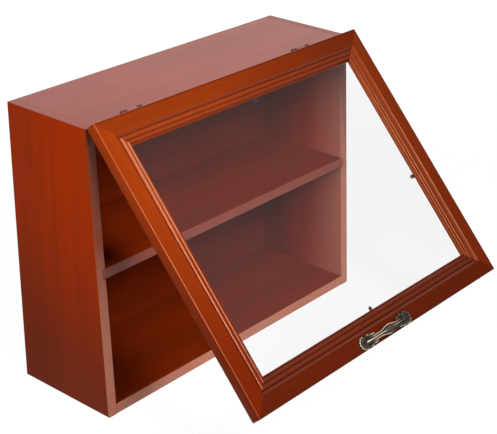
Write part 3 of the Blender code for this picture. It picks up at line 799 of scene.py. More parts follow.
class Skin:
    """Points and faces gathered from several surfaces, which become one mesh."""

    def __init__(self) -> None:
        """Start empty."""
        self.points: list[np.ndarray] = []
        self.faces: list[list[int]] = []
        self.wear_and_light: list[np.ndarray] = []
        self.count = 0

    def grid(self, points: np.ndarray, wear_and_light: np.ndarray | float, caps: bool = True) -> None:
        """Add a surface from a grid of points whose rows are closed rings.

        Each face joins two neighbours on one ring to the two on the next ring.

        Args:
            points: Rings by points by x, y, z.
            wear_and_light: How rubbed each point is, from 0 to 1; on the door's members and the pull it also
                lays painted highlight and shade.
            caps: Whether the first and last rings are closed with a face.
        """
        rings, around, _ = points.shape
        index = np.arange(rings * around).reshape(rings, around) + self.count
        after = np.roll(index, -1, axis=1)
        quads = np.stack([index[:-1], after[:-1], after[1:], index[1:]], -1).reshape(-1, 4)
        self.faces += quads.tolist()
        if caps:
            self.faces += [index[0][::-1].tolist(), index[-1].tolist()]
        self.points.append(points.reshape(-1, 3))
        self.wear_and_light.append(np.broadcast_to(wear_and_light, (rings, around)).reshape(-1))
        self.count += rings * around

    def piece(self, name: str, finish: bpy.types.Material, sharp: float = 38.0) -> bpy.types.Object:
        """Make the mesh and its object.

        Args:
            name: The piece's name.
            finish: Its material.
            sharp: Edges that turn by more than this many degrees stay sharp.

        Returns:
            The object, at the origin.
        """
        mesh = bpy.data.meshes.new(name)
        mesh.from_pydata(np.concatenate(self.points).tolist(), [], self.faces)
        wear_and_light = mesh.attributes.new("wear_and_light", "FLOAT", "POINT")
        wear_and_light.data.foreach_set("value", np.concatenate(self.wear_and_light).astype(np.float32))
        bm = bmesh.new()
        bm.from_mesh(mesh)
        bmesh.ops.remove_doubles(bm, verts=bm.verts, dist=TINY)
        bmesh.ops.dissolve_degenerate(bm, edges=bm.edges, dist=TINY)
        bmesh.ops.recalc_face_normals(bm, faces=bm.faces)
        bm.to_mesh(mesh)
        bm.free()
        mesh.shade_smooth()
        mesh.set_sharp_from_angle(angle=math.radians(sharp))
        mesh.materials.append(finish)
        obj = bpy.data.objects.new(name, mesh)
        bpy.context.scene.collection.objects.link(obj)
        return obj


def settle(obj: bpy.types.Object, body: Rides, nodes: list[str]) -> None:
    """Hang a new piece on the body that it rides with, hide the nodes that it stands for, and log it.

    Args:
        obj: The piece.
        body: What it moves with.
        nodes: The CAD nodes that it replaces.
    """
    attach(obj, body.value)
    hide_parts(*nodes)
    LOG.info("made %s with %d faces", obj.name, len(obj.data.polygons))


def dress(name: str, finish: bpy.types.Material) -> None:
    """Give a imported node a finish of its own.

    Args:
        name: The node's name.
        finish: Its new material.
    """
    materials = frame["nodes"][name].data.materials
    materials.clear()
    materials.append(finish)
    LOG.info("dressed %s", name)


def circle(around: int) -> np.ndarray:
    """Angles of a full turn, in equal steps from 0."""
    return np.linspace(0, 2 * math.pi, around, endpoint=False)


def arc(
    centre: tuple[float, float], radii: tuple[float, float], start: float, end: float, count: int
) -> np.ndarray:
    """Points on an elliptic arc: centre plus each radius times the cosine and sine of the angle.

    Args:
        centre: Its centre.
        radii: Its two radii.
        start: First angle in degrees.
        end: Last angle in degrees.
        count: How many points.

    Returns:
        Points by two.
    """
    t = np.radians(np.linspace(start, end, count))
    return np.stack([centre[0] + radii[0] * np.cos(t), centre[1] + radii[1] * np.sin(t)], -1)


def bell(x: np.ndarray, reach: float) -> np.ndarray:
    """A smooth bump: half of one plus the cosine of half a turn times x over reach, 0 beyond it."""
    return (1 + np.cos(math.pi * np.minimum(np.abs(x) / reach, 1.0))) / 2


def rounded_outline(half_x: float, half_z: float, radius: float) -> np.ndarray:
    """A rectangle with round corners, as four quarter circles joined by straight sides.

    Args:
        half_x: Half its width.
        half_z: Half its height.
        radius: Its corner radius.

    Returns:
        Points by two.
    """
    steps = 5
    corners = []
    for number, (sx, sz) in enumerate(((1, 1), (-1, 1), (-1, -1), (1, -1))):
        centre = (sx * (half_x - radius), sz * (half_z - radius))
        corners.append(arc(centre, (radius, radius), 90 * number, 90 * number + 90, steps))
    return np.concatenate(corners)


def slab(half_x: float, half_z: float, radius: float, near: float, far: float, ease: float) -> np.ndarray:
    """A flat plate with eased edges: the same rounded outline at four depths, drawn in at both faces.

    Args:
        half_x: Half its width.
        half_z: Half its height.
        radius: Its corner radius.
        near: Y of one face.
        far: Y of the other face.
        ease: How much its edges are taken off.

    Returns:
        Rings by points by x, y, z.
    """
    way = math.copysign(ease, far - near)
    rings = []
    for inset, depth in ((ease, near), (0.0, near + way), (0.0, far - way), (ease, far)):
        flat = rounded_outline(half_x - inset, half_z - inset, radius - inset)
        rings.append(np.stack([flat[:, 0], np.full(len(flat), depth), flat[:, 1]], -1))
    return np.stack(rings)


def tube(line: np.ndarray, wide: np.ndarray, thick: np.ndarray, around: int) -> np.ndarray:
    """A bar along X: at each point of its line an ellipse of the given half width and half thickness.

    Args:
        line: Points by x, y, z, running along X.
        wide: Half width along Y at each point.
        thick: Half thickness along Z at each point.
        around: Points in each ring.

    Returns:
        Rings by points by x, y, z.
    """
    t = circle(around)
    x = np.broadcast_to(line[:, :1], (len(line), around))
    y = line[:, 1:2] + wide[:, None] * np.cos(t)
    z = line[:, 2:3] + thick[:, None] * np.sin(t)
    return np.stack([x, y, z], -1)


def turned(profile: np.ndarray, around: int) -> np.ndarray:
    """A turned shape: each (radius, height) of the profile swung round Z.

    Args:
        profile: Points by radius and height.
        around: Points in each ring.

    Returns:
        Rings by points by x, y, z.
    """
    t = circle(around)
    radius, height = profile[:, :1], profile[:, 1:]
    return np.stack([radius * np.cos(t), radius * np.sin(t), height + 0 * t], -1)


@dataclass(frozen=True)
class Screw:
    """A slotted screw: its head's radius and rise, its shank's radius and length, its slot's half width."""

    head: float
    rise: float
    shank: float
    length: float
    slot: float

    def rings(self) -> np.ndarray:
        """The screw on Z, its head's seat at 0 and its shank below.

        The head's height is its rise times 0.35 plus 0.65 times the root of one minus the squared share of
        its radius. The slot lowers it by half the rise where x is within the slot's half width, by a steep
        smooth step. The shank ends in a point over its last fifth.

        Returns:
            Rings by points by x, y, z.
        """
        share = np.linspace(0, 1, 14)
        crown = np.stack([share * self.head, self.rise * (0.35 + 0.65 * np.sqrt(1 - share**2))], -1)
        foot = -self.length
        under = np.array([(self.head, 0.0), (self.shank, 0.0), (self.shank, foot * 0.8), (0.0, foot)])
        rings = turned(np.concatenate([crown, under]), 48)
        cut = np.clip(1.6 - np.abs(rings[..., 0]) / self.slot, 0, 1)
        on_head = (np.arange(len(rings)) < len(crown))[:, None]
        rings[..., 2] -= self.rise * 0.5 * cut * cut * (3 - 2 * cut) * on_head
        return rings


def settle_screw(
    points: np.ndarray, name: str, finish: bpy.types.Material, body: Rides, node: str
) -> None:
    """Make the piece of a screw.

    Args:
        points: Its rings in the row frame.
        name: Its name.
        finish: Its material.
        body: What it moves with.
        node: The CAD node that it replaces.
    """
    skin = Skin()
    skin.grid(points, 0.6, caps=False)
    settle(skin.piece(name, finish), body, [node])


@dataclass
class Carcass:
    """The boards of the case, which keep their CAD shapes and get their own finishes."""

    light: Colour = (0.455, 0.036, 0.0006)
    dark: Colour = (0.310, 0.030, 0.0035)
    top_light: Colour = (0.375, 0.031, 0.004)
    top_dark: Colour = (0.275, 0.026, 0.006)

    def finishes(self) -> dict[str, BoardWood]:
        """The finish of each board.

        Returns:
            Node name to finish.
        """
        own = (self.light, self.dark)
        # Painted shade: the left side darkens towards its foot.
        low = Fade(Axis.Z, 0.27, 0.0, (0.150, 0.024, 0.0085), 0.75)
        # Painted shade: the right side darkens towards the top of the case.
        upper = Fade(Axis.Z, 0.16, 0.30, (0.18, 0.018, 0.003), 0.5)
        front = Fade(Axis.Y, 0.000, -0.050, (0.50, 0.036, 0.0005), 0.45)
        rear = Fade(Axis.Y, 0.015, 0.065, (0.19, 0.028, 0.014), 0.30)
        # Painted light and shade on the right side: paler towards the opening, darker towards the back.
        paler = Fade(Axis.Y, 0.000, -0.055, (0.50, 0.17, 0.11), 0.35)
        back = Fade(Axis.Y, -0.020, 0.050, (0.10, 0.012, 0.003), 0.6)
        left = Fade(Axis.X, -0.06, -0.24, (0.27, 0.030, 0.008), 0.6)
        seam = Fade(Axis.Y, 0.0655, 0.0670, (0.45, 0.10, 0.03), 0.9)
        # Each edge tone near the floor is painted light, and each tone inside the case painted shade.
        return {
            "left_side": BoardWood(
                "left_side_wood", *own, Grain.UPRIGHT, 0.13, fades=(front, rear, low), specular=0.22,
                figure=1.35, cap_share=0.95,
            ),
            "right_side": BoardWood(
                "right_side_wood", *own, Grain.UPRIGHT, 1.71, fades=(upper, paler, back),
                edge=(0.33, 0.12, 0.085), edge_low_lit=(0.43, 0.17, 0.10), inner_shade_front=(0.18, 0.12, 0.095),
                inner_shade_share=0.42, cap_share=0.95,
            ),
            "top_panel": BoardWood(
                "top_wood", self.top_light, self.top_dark, Grain.ACROSS, 2.37, fades=(left,), specular=0.29,
                figure=0.6,
            ),
            "bottom_panel": BoardWood(
                "bottom_wood", *own, Grain.ACROSS, 3.11, fades=(seam,), edge_low_lit=(0.46, 0.160, 0.088),
                inner_shade_share=0.70,
            ),
            "shelf": BoardWood(
                "shelf_wood", *own, Grain.ACROSS, 4.43, edge=(0.17, 0.030, 0.013),
                edge_low_lit=(0.24, 0.062, 0.040), edge_coat=0.65, inner_shade_share=0.70,
            ),
            "back_panel": BoardWood("back_wood", *own, Grain.ACROSS, 5.29, inner_shade_share=0.75),
        }

    def build(self) -> None:
        """Put each finish on its board, and the plain ones on dowels and brads."""
        for name, finish in self.finishes().items():
            dress(name, finish.material())
        dowel = PlainWood().material()
        brad = Steel("brad_steel", (0.42, 0.41, 0.39), 1.0, 0.38).material()
        for name in frame["nodes"]:
            if "dowel" in name:
                dress(name, dowel)
            elif "brad" in name:
                dress(name, brad)


@dataclass
class MouldedFrame:
    """The four mitred members of the door."""

    line: HingeLine
    flat_band: float = 0.0185
    outer_round: float = 0.0012
    back_round: float = 0.0008
    mitre_gap: float = 0.00012

    def section(self, arris_wear_and_shade: float) -> tuple[np.ndarray, np.ndarray]:
        """Outline of a member: distance in from the outer edge, and height over the back face.

        A rounded outer edge, a flat band with a small round at its end, a slope to the first quirk, two
        half-ellipse beads with a quirk between them, a sloping lip and the rebate for the pane.

        Args:
            arris_wear_and_shade: How rubbed and lit the outer edge is: 0 lays painted shade on it, 0.5 leaves
                it plain.

        Returns:
            Points by two, round the outline, and how rubbed and lit each is: 1 on the crests, which lays a
            painted highlight, and 0 in the quirks, which lays painted shade.
        """
        top = DOOR.thickness
        shoulder = top - DOOR.shoulder_depth
        wall = DOOR.frame_width - DOOR.rebate
        r, b, end = self.outer_round, self.back_round, self.flat_band
        runs = [
            (arc((b, b), (b, b), 270, 180, 4), 0.5, 0.5),
            (arc((r, top - r), (r, r), 180, 90, 7), arris_wear_and_shade, arris_wear_and_shade),
            (np.array([(r + 0.0006, top), (r + 0.0024, top)]), arris_wear_and_shade, 0.5),
            (np.array([(end - 0.0010, top), (end - 0.0002, top)]), 0.5, 0.4),
            (arc((end + 0.0003, top - 0.0014), (0.0014, 0.0014), 90, 40, 6), 0.42, 0.38),
            (np.array([(end + 0.0040, top - 0.0024), (end + 0.0045, top - 0.0033)]), 0.32, 0.0),
            (arc((0.02605, top - 0.0034), (0.0028, 0.0017), 180, 0, 15), 0.0, 0.0),
            (arc((0.03130, top - 0.0038), (0.0021, 0.0016), 170, 0, 13), 0.0, 0.0),
            (arc((0.0345, top - 0.0055), (0.0015, 0.0010), 110, 0, 6), 0.2, 0.6),
            (np.array([(DOOR.frame_width, shoulder), (wall, shoulder), (wall, 0.0)]), 0.5, 0.5),
        ]
        wear_and_light = []
        for points, first, last in runs:
            u = np.linspace(0, 1, len(points))
            crest = 1.05 * np.sin(math.pi * u) if first == last == 0 else 0 * u
            wear_and_light.append(np.clip(first + (last - first) * u**2 + crest, 0, 1))
        return np.concatenate([points for points, _, _ in runs]), np.concatenate(wear_and_light)

    def member(self, name: str, edge: Edge, length: float, finish: MouldedWood, arris_wear_and_shade: float) -> None:
        """Carry the section along one edge of the door, each point stopping short by its own distance in.

        Args:
            name: The CAD node it stands for.
            edge: The door's edge that it follows.
            length: Its length over the mitres' tips.
            finish: Its wood.
            arris_wear_and_shade: How rubbed and lit its outer edge is; 0 lays painted shade on it.
        """
        section, wear_and_light = self.section(arris_wear_and_shade)
        inward, height = section[:, 0], section[:, 1]
        along = np.linspace(-1, 1, 9)[:, None] * (length / 2 - inward - self.mitre_gap / 2)
        skin = Skin()
        skin.grid(self.line.carry(edge.place(along, inward, height)), wear_and_light)
        piece = skin.piece(name.replace("door_", "moulded_"), finish.material())
        settle(piece, Rides.DOOR, [name])

    def build(self) -> None:
        """Make the four members, each from its own board, with tones and fades that paint the light and shade
        over the door: lit on the left stile, shaded on the right stile, on the bottom rail and towards the
        top rail's right. The left and top ones catch more light.
        """
        bright = {"specular": 0.62, "glow": (1.0, 0.50, 0.30)}
        # Painted shade: the stiles darken downwards and the top rail towards the right.
        down = Fade(Axis.Z, 0.33, 0.10, (0.150, 0.009, 0.0006), 0.85)
        lower = Fade(Axis.Z, 0.33, 0.14, (0.150, 0.014, 0.0015), 0.55)
        across = Fade(Axis.X, -0.10, 0.23, (0.140, 0.016, 0.0035), 0.75)
        # The members' tones paint the light and shade: lit on the left stile, shaded on the right stile and
        # bottom rail; the left stile's crests carry a painted highlight near the top.
        left = MouldedWood(
            "left_stile_lit_wood", (0.430, 0.052, 0.0040), (0.330, 0.040, 0.0030), Grain.UP_THE_DOOR, 6.2,
            fades=(down,), crest_highlight_share=0.5, **bright,
        )
        right = MouldedWood(
            "right_stile_shaded_wood", (0.280, 0.036, 0.0050), (0.200, 0.026, 0.0040), Grain.UP_THE_DOOR, 7.9,
            fades=(lower,),
        )
        top = MouldedWood(
            "top_rail_wood", (0.340, 0.042, 0.0040), (0.260, 0.031, 0.0030), Grain.ACROSS, 8.8,
            fades=(across,), **bright,
        )
        bottom = MouldedWood(
            "bottom_rail_shaded_wood", (0.145, 0.015, 0.0027), (0.100, 0.011, 0.0022), Grain.ACROSS, 9.6
        )
        self.member("door_left_stile", Edge.LEFT, DOOR.height, left, 0.5)
        self.member("door_right_stile", Edge.RIGHT, DOOR.height, right, 0.5)
        self.member("door_top_rail", Edge.TOP, CASE.width, top, 0.0)
        self.member("door_bottom_rail", Edge.BOTTOM, CASE.width, bottom, 0.0)


@dataclass
class Glazing:
    """The pane and the clips that hold it."""

    line: HingeLine
    width: float = 0.005
    thickness: float = 0.0012
    pad_start: float = 0.020
    start_round: float = 0.0025
    step_start: float = 0.0304
    step_run: float = 0.0020
    reach: float = 0.0045
    end_round: float = 0.0021
    squareness: float = 0.35
    air: float = 0.00015
    screw_inset: float = 0.025
    screw: Screw = Screw(head=0.0021, rise=0.0012, shank=0.0010, length=0.0085, slot=0.00035)

    def strip(self) -> np.ndarray:
        """A clip in its member's directions: x along, then distance in, then height over the back face.

        Its line lies on the frame's back and steps down to the pane by a smooth step. Its half width closes
        at both ends as the root of one minus the square of the distance past the end's start. Its section is
        a circle whose cosine and sine are raised to a small power, which makes it nearly square.

        Returns:
            Rings by points by three.
        """
        tip = DOOR.frame_width + self.reach
        inward = np.concatenate(
            [
                np.linspace(self.pad_start, self.pad_start + self.start_round, 9),
                np.linspace(0.0236, 0.0298, 5),
                np.linspace(0.0302, 0.0326, 11),
                np.linspace(0.0336, tip - self.end_round, 5),
                np.linspace(tip - 0.0019, tip, 9),
            ]
        )
        step = np.clip((inward - self.step_start) / self.step_run, 0, 1)
        low = -self.air - self.thickness / 2
        high = DOOR.glass_back - self.air - self.thickness / 2
        height = low + (high - low) * step * step * (3 - 2 * step)
        past_start = np.clip((self.pad_start + self.start_round - inward) / self.start_round, 0, 1)
        past_end = np.clip((inward - tip + self.end_round) / self.end_round, 0, 1)
        half = self.width / 2 * np.sqrt(np.maximum(1 - np.maximum(past_start, past_end) ** 2, 0.0009))
        t = circle(20)
        side = np.sign(np.cos(t)) * np.abs(np.cos(t)) ** self.squareness
        face = np.sign(np.sin(t)) * np.abs(np.sin(t)) ** self.squareness
        slope = np.gradient(height, inward)[:, None]
        lean = 1 / np.sqrt(1 + slope * slope)
        x = half[:, None] * side
        y = inward[:, None] - self.thickness / 2 * face * slope * lean * 0.9
        z = height[:, None] + self.thickness / 2 * face * lean
        return np.stack([x, y, z], -1)

    def carry(self, local: np.ndarray, edge: Edge, shift: float) -> np.ndarray:
        """Bring a piece from its member's directions to the row frame, at its place along the member."""
        return self.line.carry(edge.place(local[..., 0] + shift, local[..., 1], local[..., 2]))

    def clip(self, edge: Edge, shift: float, finish: bpy.types.Material) -> None:
        """Make a clip and its screw.

        Args:
            edge: The door's edge whose member it sits on.
            shift: Its place along the member.
            finish: Its material.
        """
        name = edge.name.lower()
        skin = Skin()
        skin.grid(self.carry(self.strip(), edge, shift), 0.4)
        settle(skin.piece(f"clip_{name}", finish), Rides.DOOR, [f"glass_clip_{name}"])
        rings = self.screw.rings()
        depth = -self.air - self.thickness - rings[..., 2]
        local = np.stack([rings[..., 0], rings[..., 1] + self.screw_inset, depth], -1)
        points = self.carry(local, edge, shift)
        settle_screw(
            points, f"clip_screw_head_{name}", finish, Rides.DOOR, f"clip_screw_{name}"
        )

    def build(self) -> None:
        """Finish the pane, and make the four clips with their screws."""
        dress("door_glass", Pane().material())
        black = Steel("blackened_clip", (0.010, 0.006, 0.007), 0.0, 0.55).material()
        self.clip(Edge.BOTTOM, 0.0055, black)
        self.clip(Edge.LEFT, 0.025, black)
        self.clip(Edge.TOP, -0.012, black)
        self.clip(Edge.RIGHT, -0.025, black)


@dataclass(frozen=True)
class Leaf:
    """A leaf of the pull, with its root and tip measured from the pull's middle.

    It bows up the door where up is 1 and down it where up is -1, as far as its spread, and its tip stands as
    high as its lift.
    """

    up: int
    root: float
    tip: float
    spread: float
    lift: float


@dataclass
class Pull:
    """The cast pull: two shell feet, leaves that grow from them, a swelling grip and a rail on each side."""

    line: HingeLine
    centres: float = 0.076
    edge_distance: float = 0.0084
    shift: float = 0.003
    shell: float = 0.0082
    lobes: int = 9
    leaves: tuple[Leaf, ...] = (
        Leaf(-1, 0.0345, 0.0195, 0.0036, 0.0030),
        Leaf(-1, 0.0370, 0.0275, 0.0052, 0.0012),
        Leaf(1, 0.0345, 0.0195, 0.0036, 0.0030),
        Leaf(1, 0.0370, 0.0275, 0.0052, 0.0012),
        Leaf(1, 0.0330, 0.0235, -0.0010, 0.0040),
    )
    bar_low: float = 0.0028
    grip_height: float = 0.0102
    grip_reach: float = 0.0365
    grip_half_width: float = 0.0031
    neck_half_width: float = 0.0008
    shadow_web_reach: float = 0.0165
    rail_reach: float = 0.0315
    rail_half_width: float = 0.00085
    bolt: Screw = Screw(head=0.0034, rise=0.0007, shank=0.0019, length=0.0145, slot=0.0005)

    @property
    def rise(self) -> float:
        """Z of the pull's axis, in the door's directions."""
        return DOOR.middle - DOOR.height / 2 + self.edge_distance

    def carry(self, local: np.ndarray) -> np.ndarray:
        """From the pull's directions, x along, y up the door and z out of it, to the row frame."""
        out = DOOR.front - local[..., 2]
        return self.line.carry(np.stack([local[..., 0] - self.shift, out, local[..., 1] + self.rise], -1))

    def foot(self, skin: Skin, side: int) -> None:
        """A shell: its radius swells at each lobe, and flutes run from its eye to its rim.

        With s the share of the radius and a the angle from the outward direction, the height is a dome,
        plus flutes that grow with s as the cosine of the lobes times a, plus a ring round a sunken eye.

        Args:
            skin: What it is added to.
            side: -1 for the left foot, 1 for the right.
        """
        rows = 30
        share = np.concatenate([np.linspace(0, 1, rows), [1.0, 0.985, 0.0]])[:, None]
        t = np.linspace(-math.pi, math.pi, 180, endpoint=False)[None, :]
        fan = 1 / (1 + np.exp((np.abs(t) - 2.05) / 0.16))
        wave = np.cos(self.lobes * t * 1.35)
        edge = self.shell * (1 - 0.24 * (1 - fan)) * (1 + 0.035 * wave * fan - 0.02 * fan)
        x = side * (self.centres / 2 + 0.0012 + share * edge * np.cos(t))
        y = share * edge * np.sin(t)
        dome = 0.0011 + 0.0026 * np.sqrt(np.clip(1 - share**2 * 0.92, 0, 1))
        flute = 0.00038 * wave * fan * np.clip(share * 1.3, 0, 1)
        flute = flute * np.sqrt(np.clip(1.02 - share**6, 0, 1))
        rim = np.exp(-(((share - 0.91) / 0.075) ** 2)) * fan
        ring = np.exp(-(((share - 0.42) / 0.07) ** 2))
        eye = np.exp(-((share / 0.24) ** 2))
        z = dome + flute + 0.0012 * rim + 0.0008 * ring - 0.0021 * eye
        top = np.arange(len(share))[:, None] < rows
        z = np.where(top, z, 0.00005)
        wear_and_light = 0.20 + 0.16 * wave * fan * share + 0.85 * rim + 0.30 * ring * (0.5 + 0.5 * wave) - 0.2 * eye
        # The painted light share keeps the rubbed rim and flutes bright on the left and dims them on the
        # right foot as painted shade.
        wear_and_light = np.clip(np.where(top, wear_and_light * self.painted_light_share(x, y), 0.1), 0, 1)
        skin.grid(self.carry(np.stack([x, y, z], -1)), wear_and_light, caps=False)

    def leaf(self, skin: Skin, side: int, leaf: Leaf) -> None:
        """A curling leaf from a foot towards the grip.

        Its line bows sideways as a sine and rises to its tip, and its half width is a sine to the power 0.7
        that closes at both ends, with a raised midrib.

        Args:
            skin: What it is added to.
            side: -1 for the left foot, 1 for the right.
            leaf: Its sizes.
        """
        around = 16
        u = np.linspace(0, 1, 26)
        x = side * (leaf.root + (leaf.tip - leaf.root) * u)
        bow = leaf.spread * np.sin(math.pi * np.minimum(u * 0.72 + 0.05, 1.0))
        y = leaf.up * (0.0012 + bow + 0.0011 * u**3)
        z = 0.0017 + leaf.lift * u**1.3
        half = 0.0016 * np.sin(math.pi * np.clip(u * 0.93 + 0.06, 0, 1)) ** 0.7
        rings = tube(np.stack([x, y, z], -1), half, 0.0008 + half * 0.45, around)
        t = circle(around)
        rings[..., 2] += 0.00025 * np.exp(-((np.cos(t) / 0.25) ** 2)) * (np.sin(t) > 0)
        tip_share = np.clip((u[:, None] - 0.35) / 0.3, 0, 1)
        wear_and_light = 0.12 + (0.15 + 0.75 * tip_share) * np.clip(np.sin(t), 0, 1) ** 1.5
        # The tips are rubbed bright, and the painted light share dims the right foot's leaves.
        skin.grid(self.carry(rings), wear_and_light * self.painted_light_share(x, y)[:, None])

    def bar_height(self, x: np.ndarray) -> np.ndarray:
        """Height of the bar: a quarter cosine of the squared share, level at the grip and low at the feet."""
        share = np.minimum(np.abs(x) / (self.centres / 2), 1.0)
        return self.bar_low + (self.grip_height - self.bar_low) * np.cos(math.pi / 2 * share**2)

    def painted_light_share(self, x: np.ndarray, y: np.ndarray) -> np.ndarray:
        """How much of the rubbed tone shows, as painted light: all of it on the left and lowest down, fading
        to 0.6 on the right foot as painted shade.

        Args:
            x: Place along the pull.
            y: Place up the door from its axis.

        Returns:
            The share that shows at each point.
        """
        return 1 - 0.4 / (1 + np.exp(-(x - 0.016) / 0.005)) * np.clip(1 + (y + 0.002) / 0.003, 0, 1)

    def grip(self, skin: Skin) -> None:
        """The swelling bar, over a flat dark sheet that joins it to the rails and is painted shadow under the
        grip.

        Its section is an ellipse whose half width swells as a bell in the middle, with fine lengthwise reeds.

        Args:
            skin: What it is added to.
        """
        around, reeds = 72, 24
        x = np.linspace(-self.grip_reach, self.grip_reach, 90)
        swell = bell(x, 0.0150) ** 1.15
        half = self.neck_half_width + (self.grip_half_width - self.neck_half_width) * swell
        line = np.stack([x, 0 * x, self.bar_height(x)], -1)
        t = circle(around)
        ripple = np.cos(reeds * t)[None, :] * swell[:, None]
        rings = tube(line, half, half * 0.62 + 0.0004, around)
        centre = line[:, None, 1:]
        rings[..., 1:] = centre + (rings[..., 1:] - centre) * (1 + 0.020 * ripple)[..., None]
        wear_and_light = 0.46 + 0.10 * ripple + 0.50 * (1 - swell[:, None]) ** 2
        wear_and_light = np.clip(wear_and_light * (0.25 + 0.75 * np.clip(np.sin(t) * 1.6, 0, 1)), 0, 1)
        # The painted light share dims the grip towards the right.
        skin.grid(self.carry(rings), wear_and_light * self.painted_light_share(x, 0 * x)[:, None])
        # A dark sheet under the grip, at the hollow tone: painted shadow.
        shadow_web = line - np.array([0.0, 0.0008, 0.0022])
        shadow_web_half = 0.0034 + 0.0019 * bell(x, self.shadow_web_reach)
        skin.grid(self.carry(tube(shadow_web, shadow_web_half, 0 * x + 0.0007, 24)), 0.04)

    def rail(self, skin: Skin, up: int) -> None:
        """A thin round rail that follows one side of the grip and dives to the feet.

        Args:
            skin: What it is added to.
            up: 1 for the upper rail, -1 for the lower.
        """
        around = 14
        x = np.linspace(-self.rail_reach, self.rail_reach, 80)
        y = up * (0.0025 + 0.0024 * bell(x, self.shadow_web_reach))
        z = self.bar_height(x) - 0.0012
        half = self.rail_half_width * (0.75 + 0.25 * bell(x, 0.034))
        t = circle(around)
        # Painted shade on the right half of the lower rail.
        shade = 1.0 if up > 0 else 1 - 0.55 / (1 + np.exp(-x / 0.002))
        # The painted light share dims the rails on the right.
        along = np.clip((0.0325 - np.abs(x)) / 0.008, 0, 1) * self.painted_light_share(x, y) * shade
        wear_and_light = (0.15 + 0.83 * np.clip(np.sin(t) * 1.5, 0, 1)) * along[:, None]
        skin.grid(self.carry(tube(np.stack([x, y, z], -1), half, half, around)), wear_and_light)

    def build(self) -> None:
        """Make the pull and its two screws."""
        skin = Skin()
        for side in (-1, 1):
            self.foot(skin, side)
            for leaf in self.leaves:
                self.leaf(skin, side, leaf)
        self.grip(skin)
        for up in (-1, 1):
            self.rail(skin, up)
        bronze = Bronze("antique_bronze_cast").material()
        settle(skin.piece("cast_pull", bronze, 50.0), Rides.DOOR, ["pull_handle"])
        black = Steel("pull_screw_steel", (0.05, 0.045, 0.04), 0.8, 0.4).material()
        rings = self.bolt.rings()
        for name, side in (("left", -1), ("right", 1)):
            along = side * self.centres / 2 - self.shift + rings[..., 0]
            local = np.stack([along, DOOR.back + rings[..., 2], self.rise + rings[..., 1]], -1)
            points = self.line.carry(local)
            settle_screw(points, f"pull_bolt_{name}", black, Rides.DOOR, f"pull_screw_{name}")


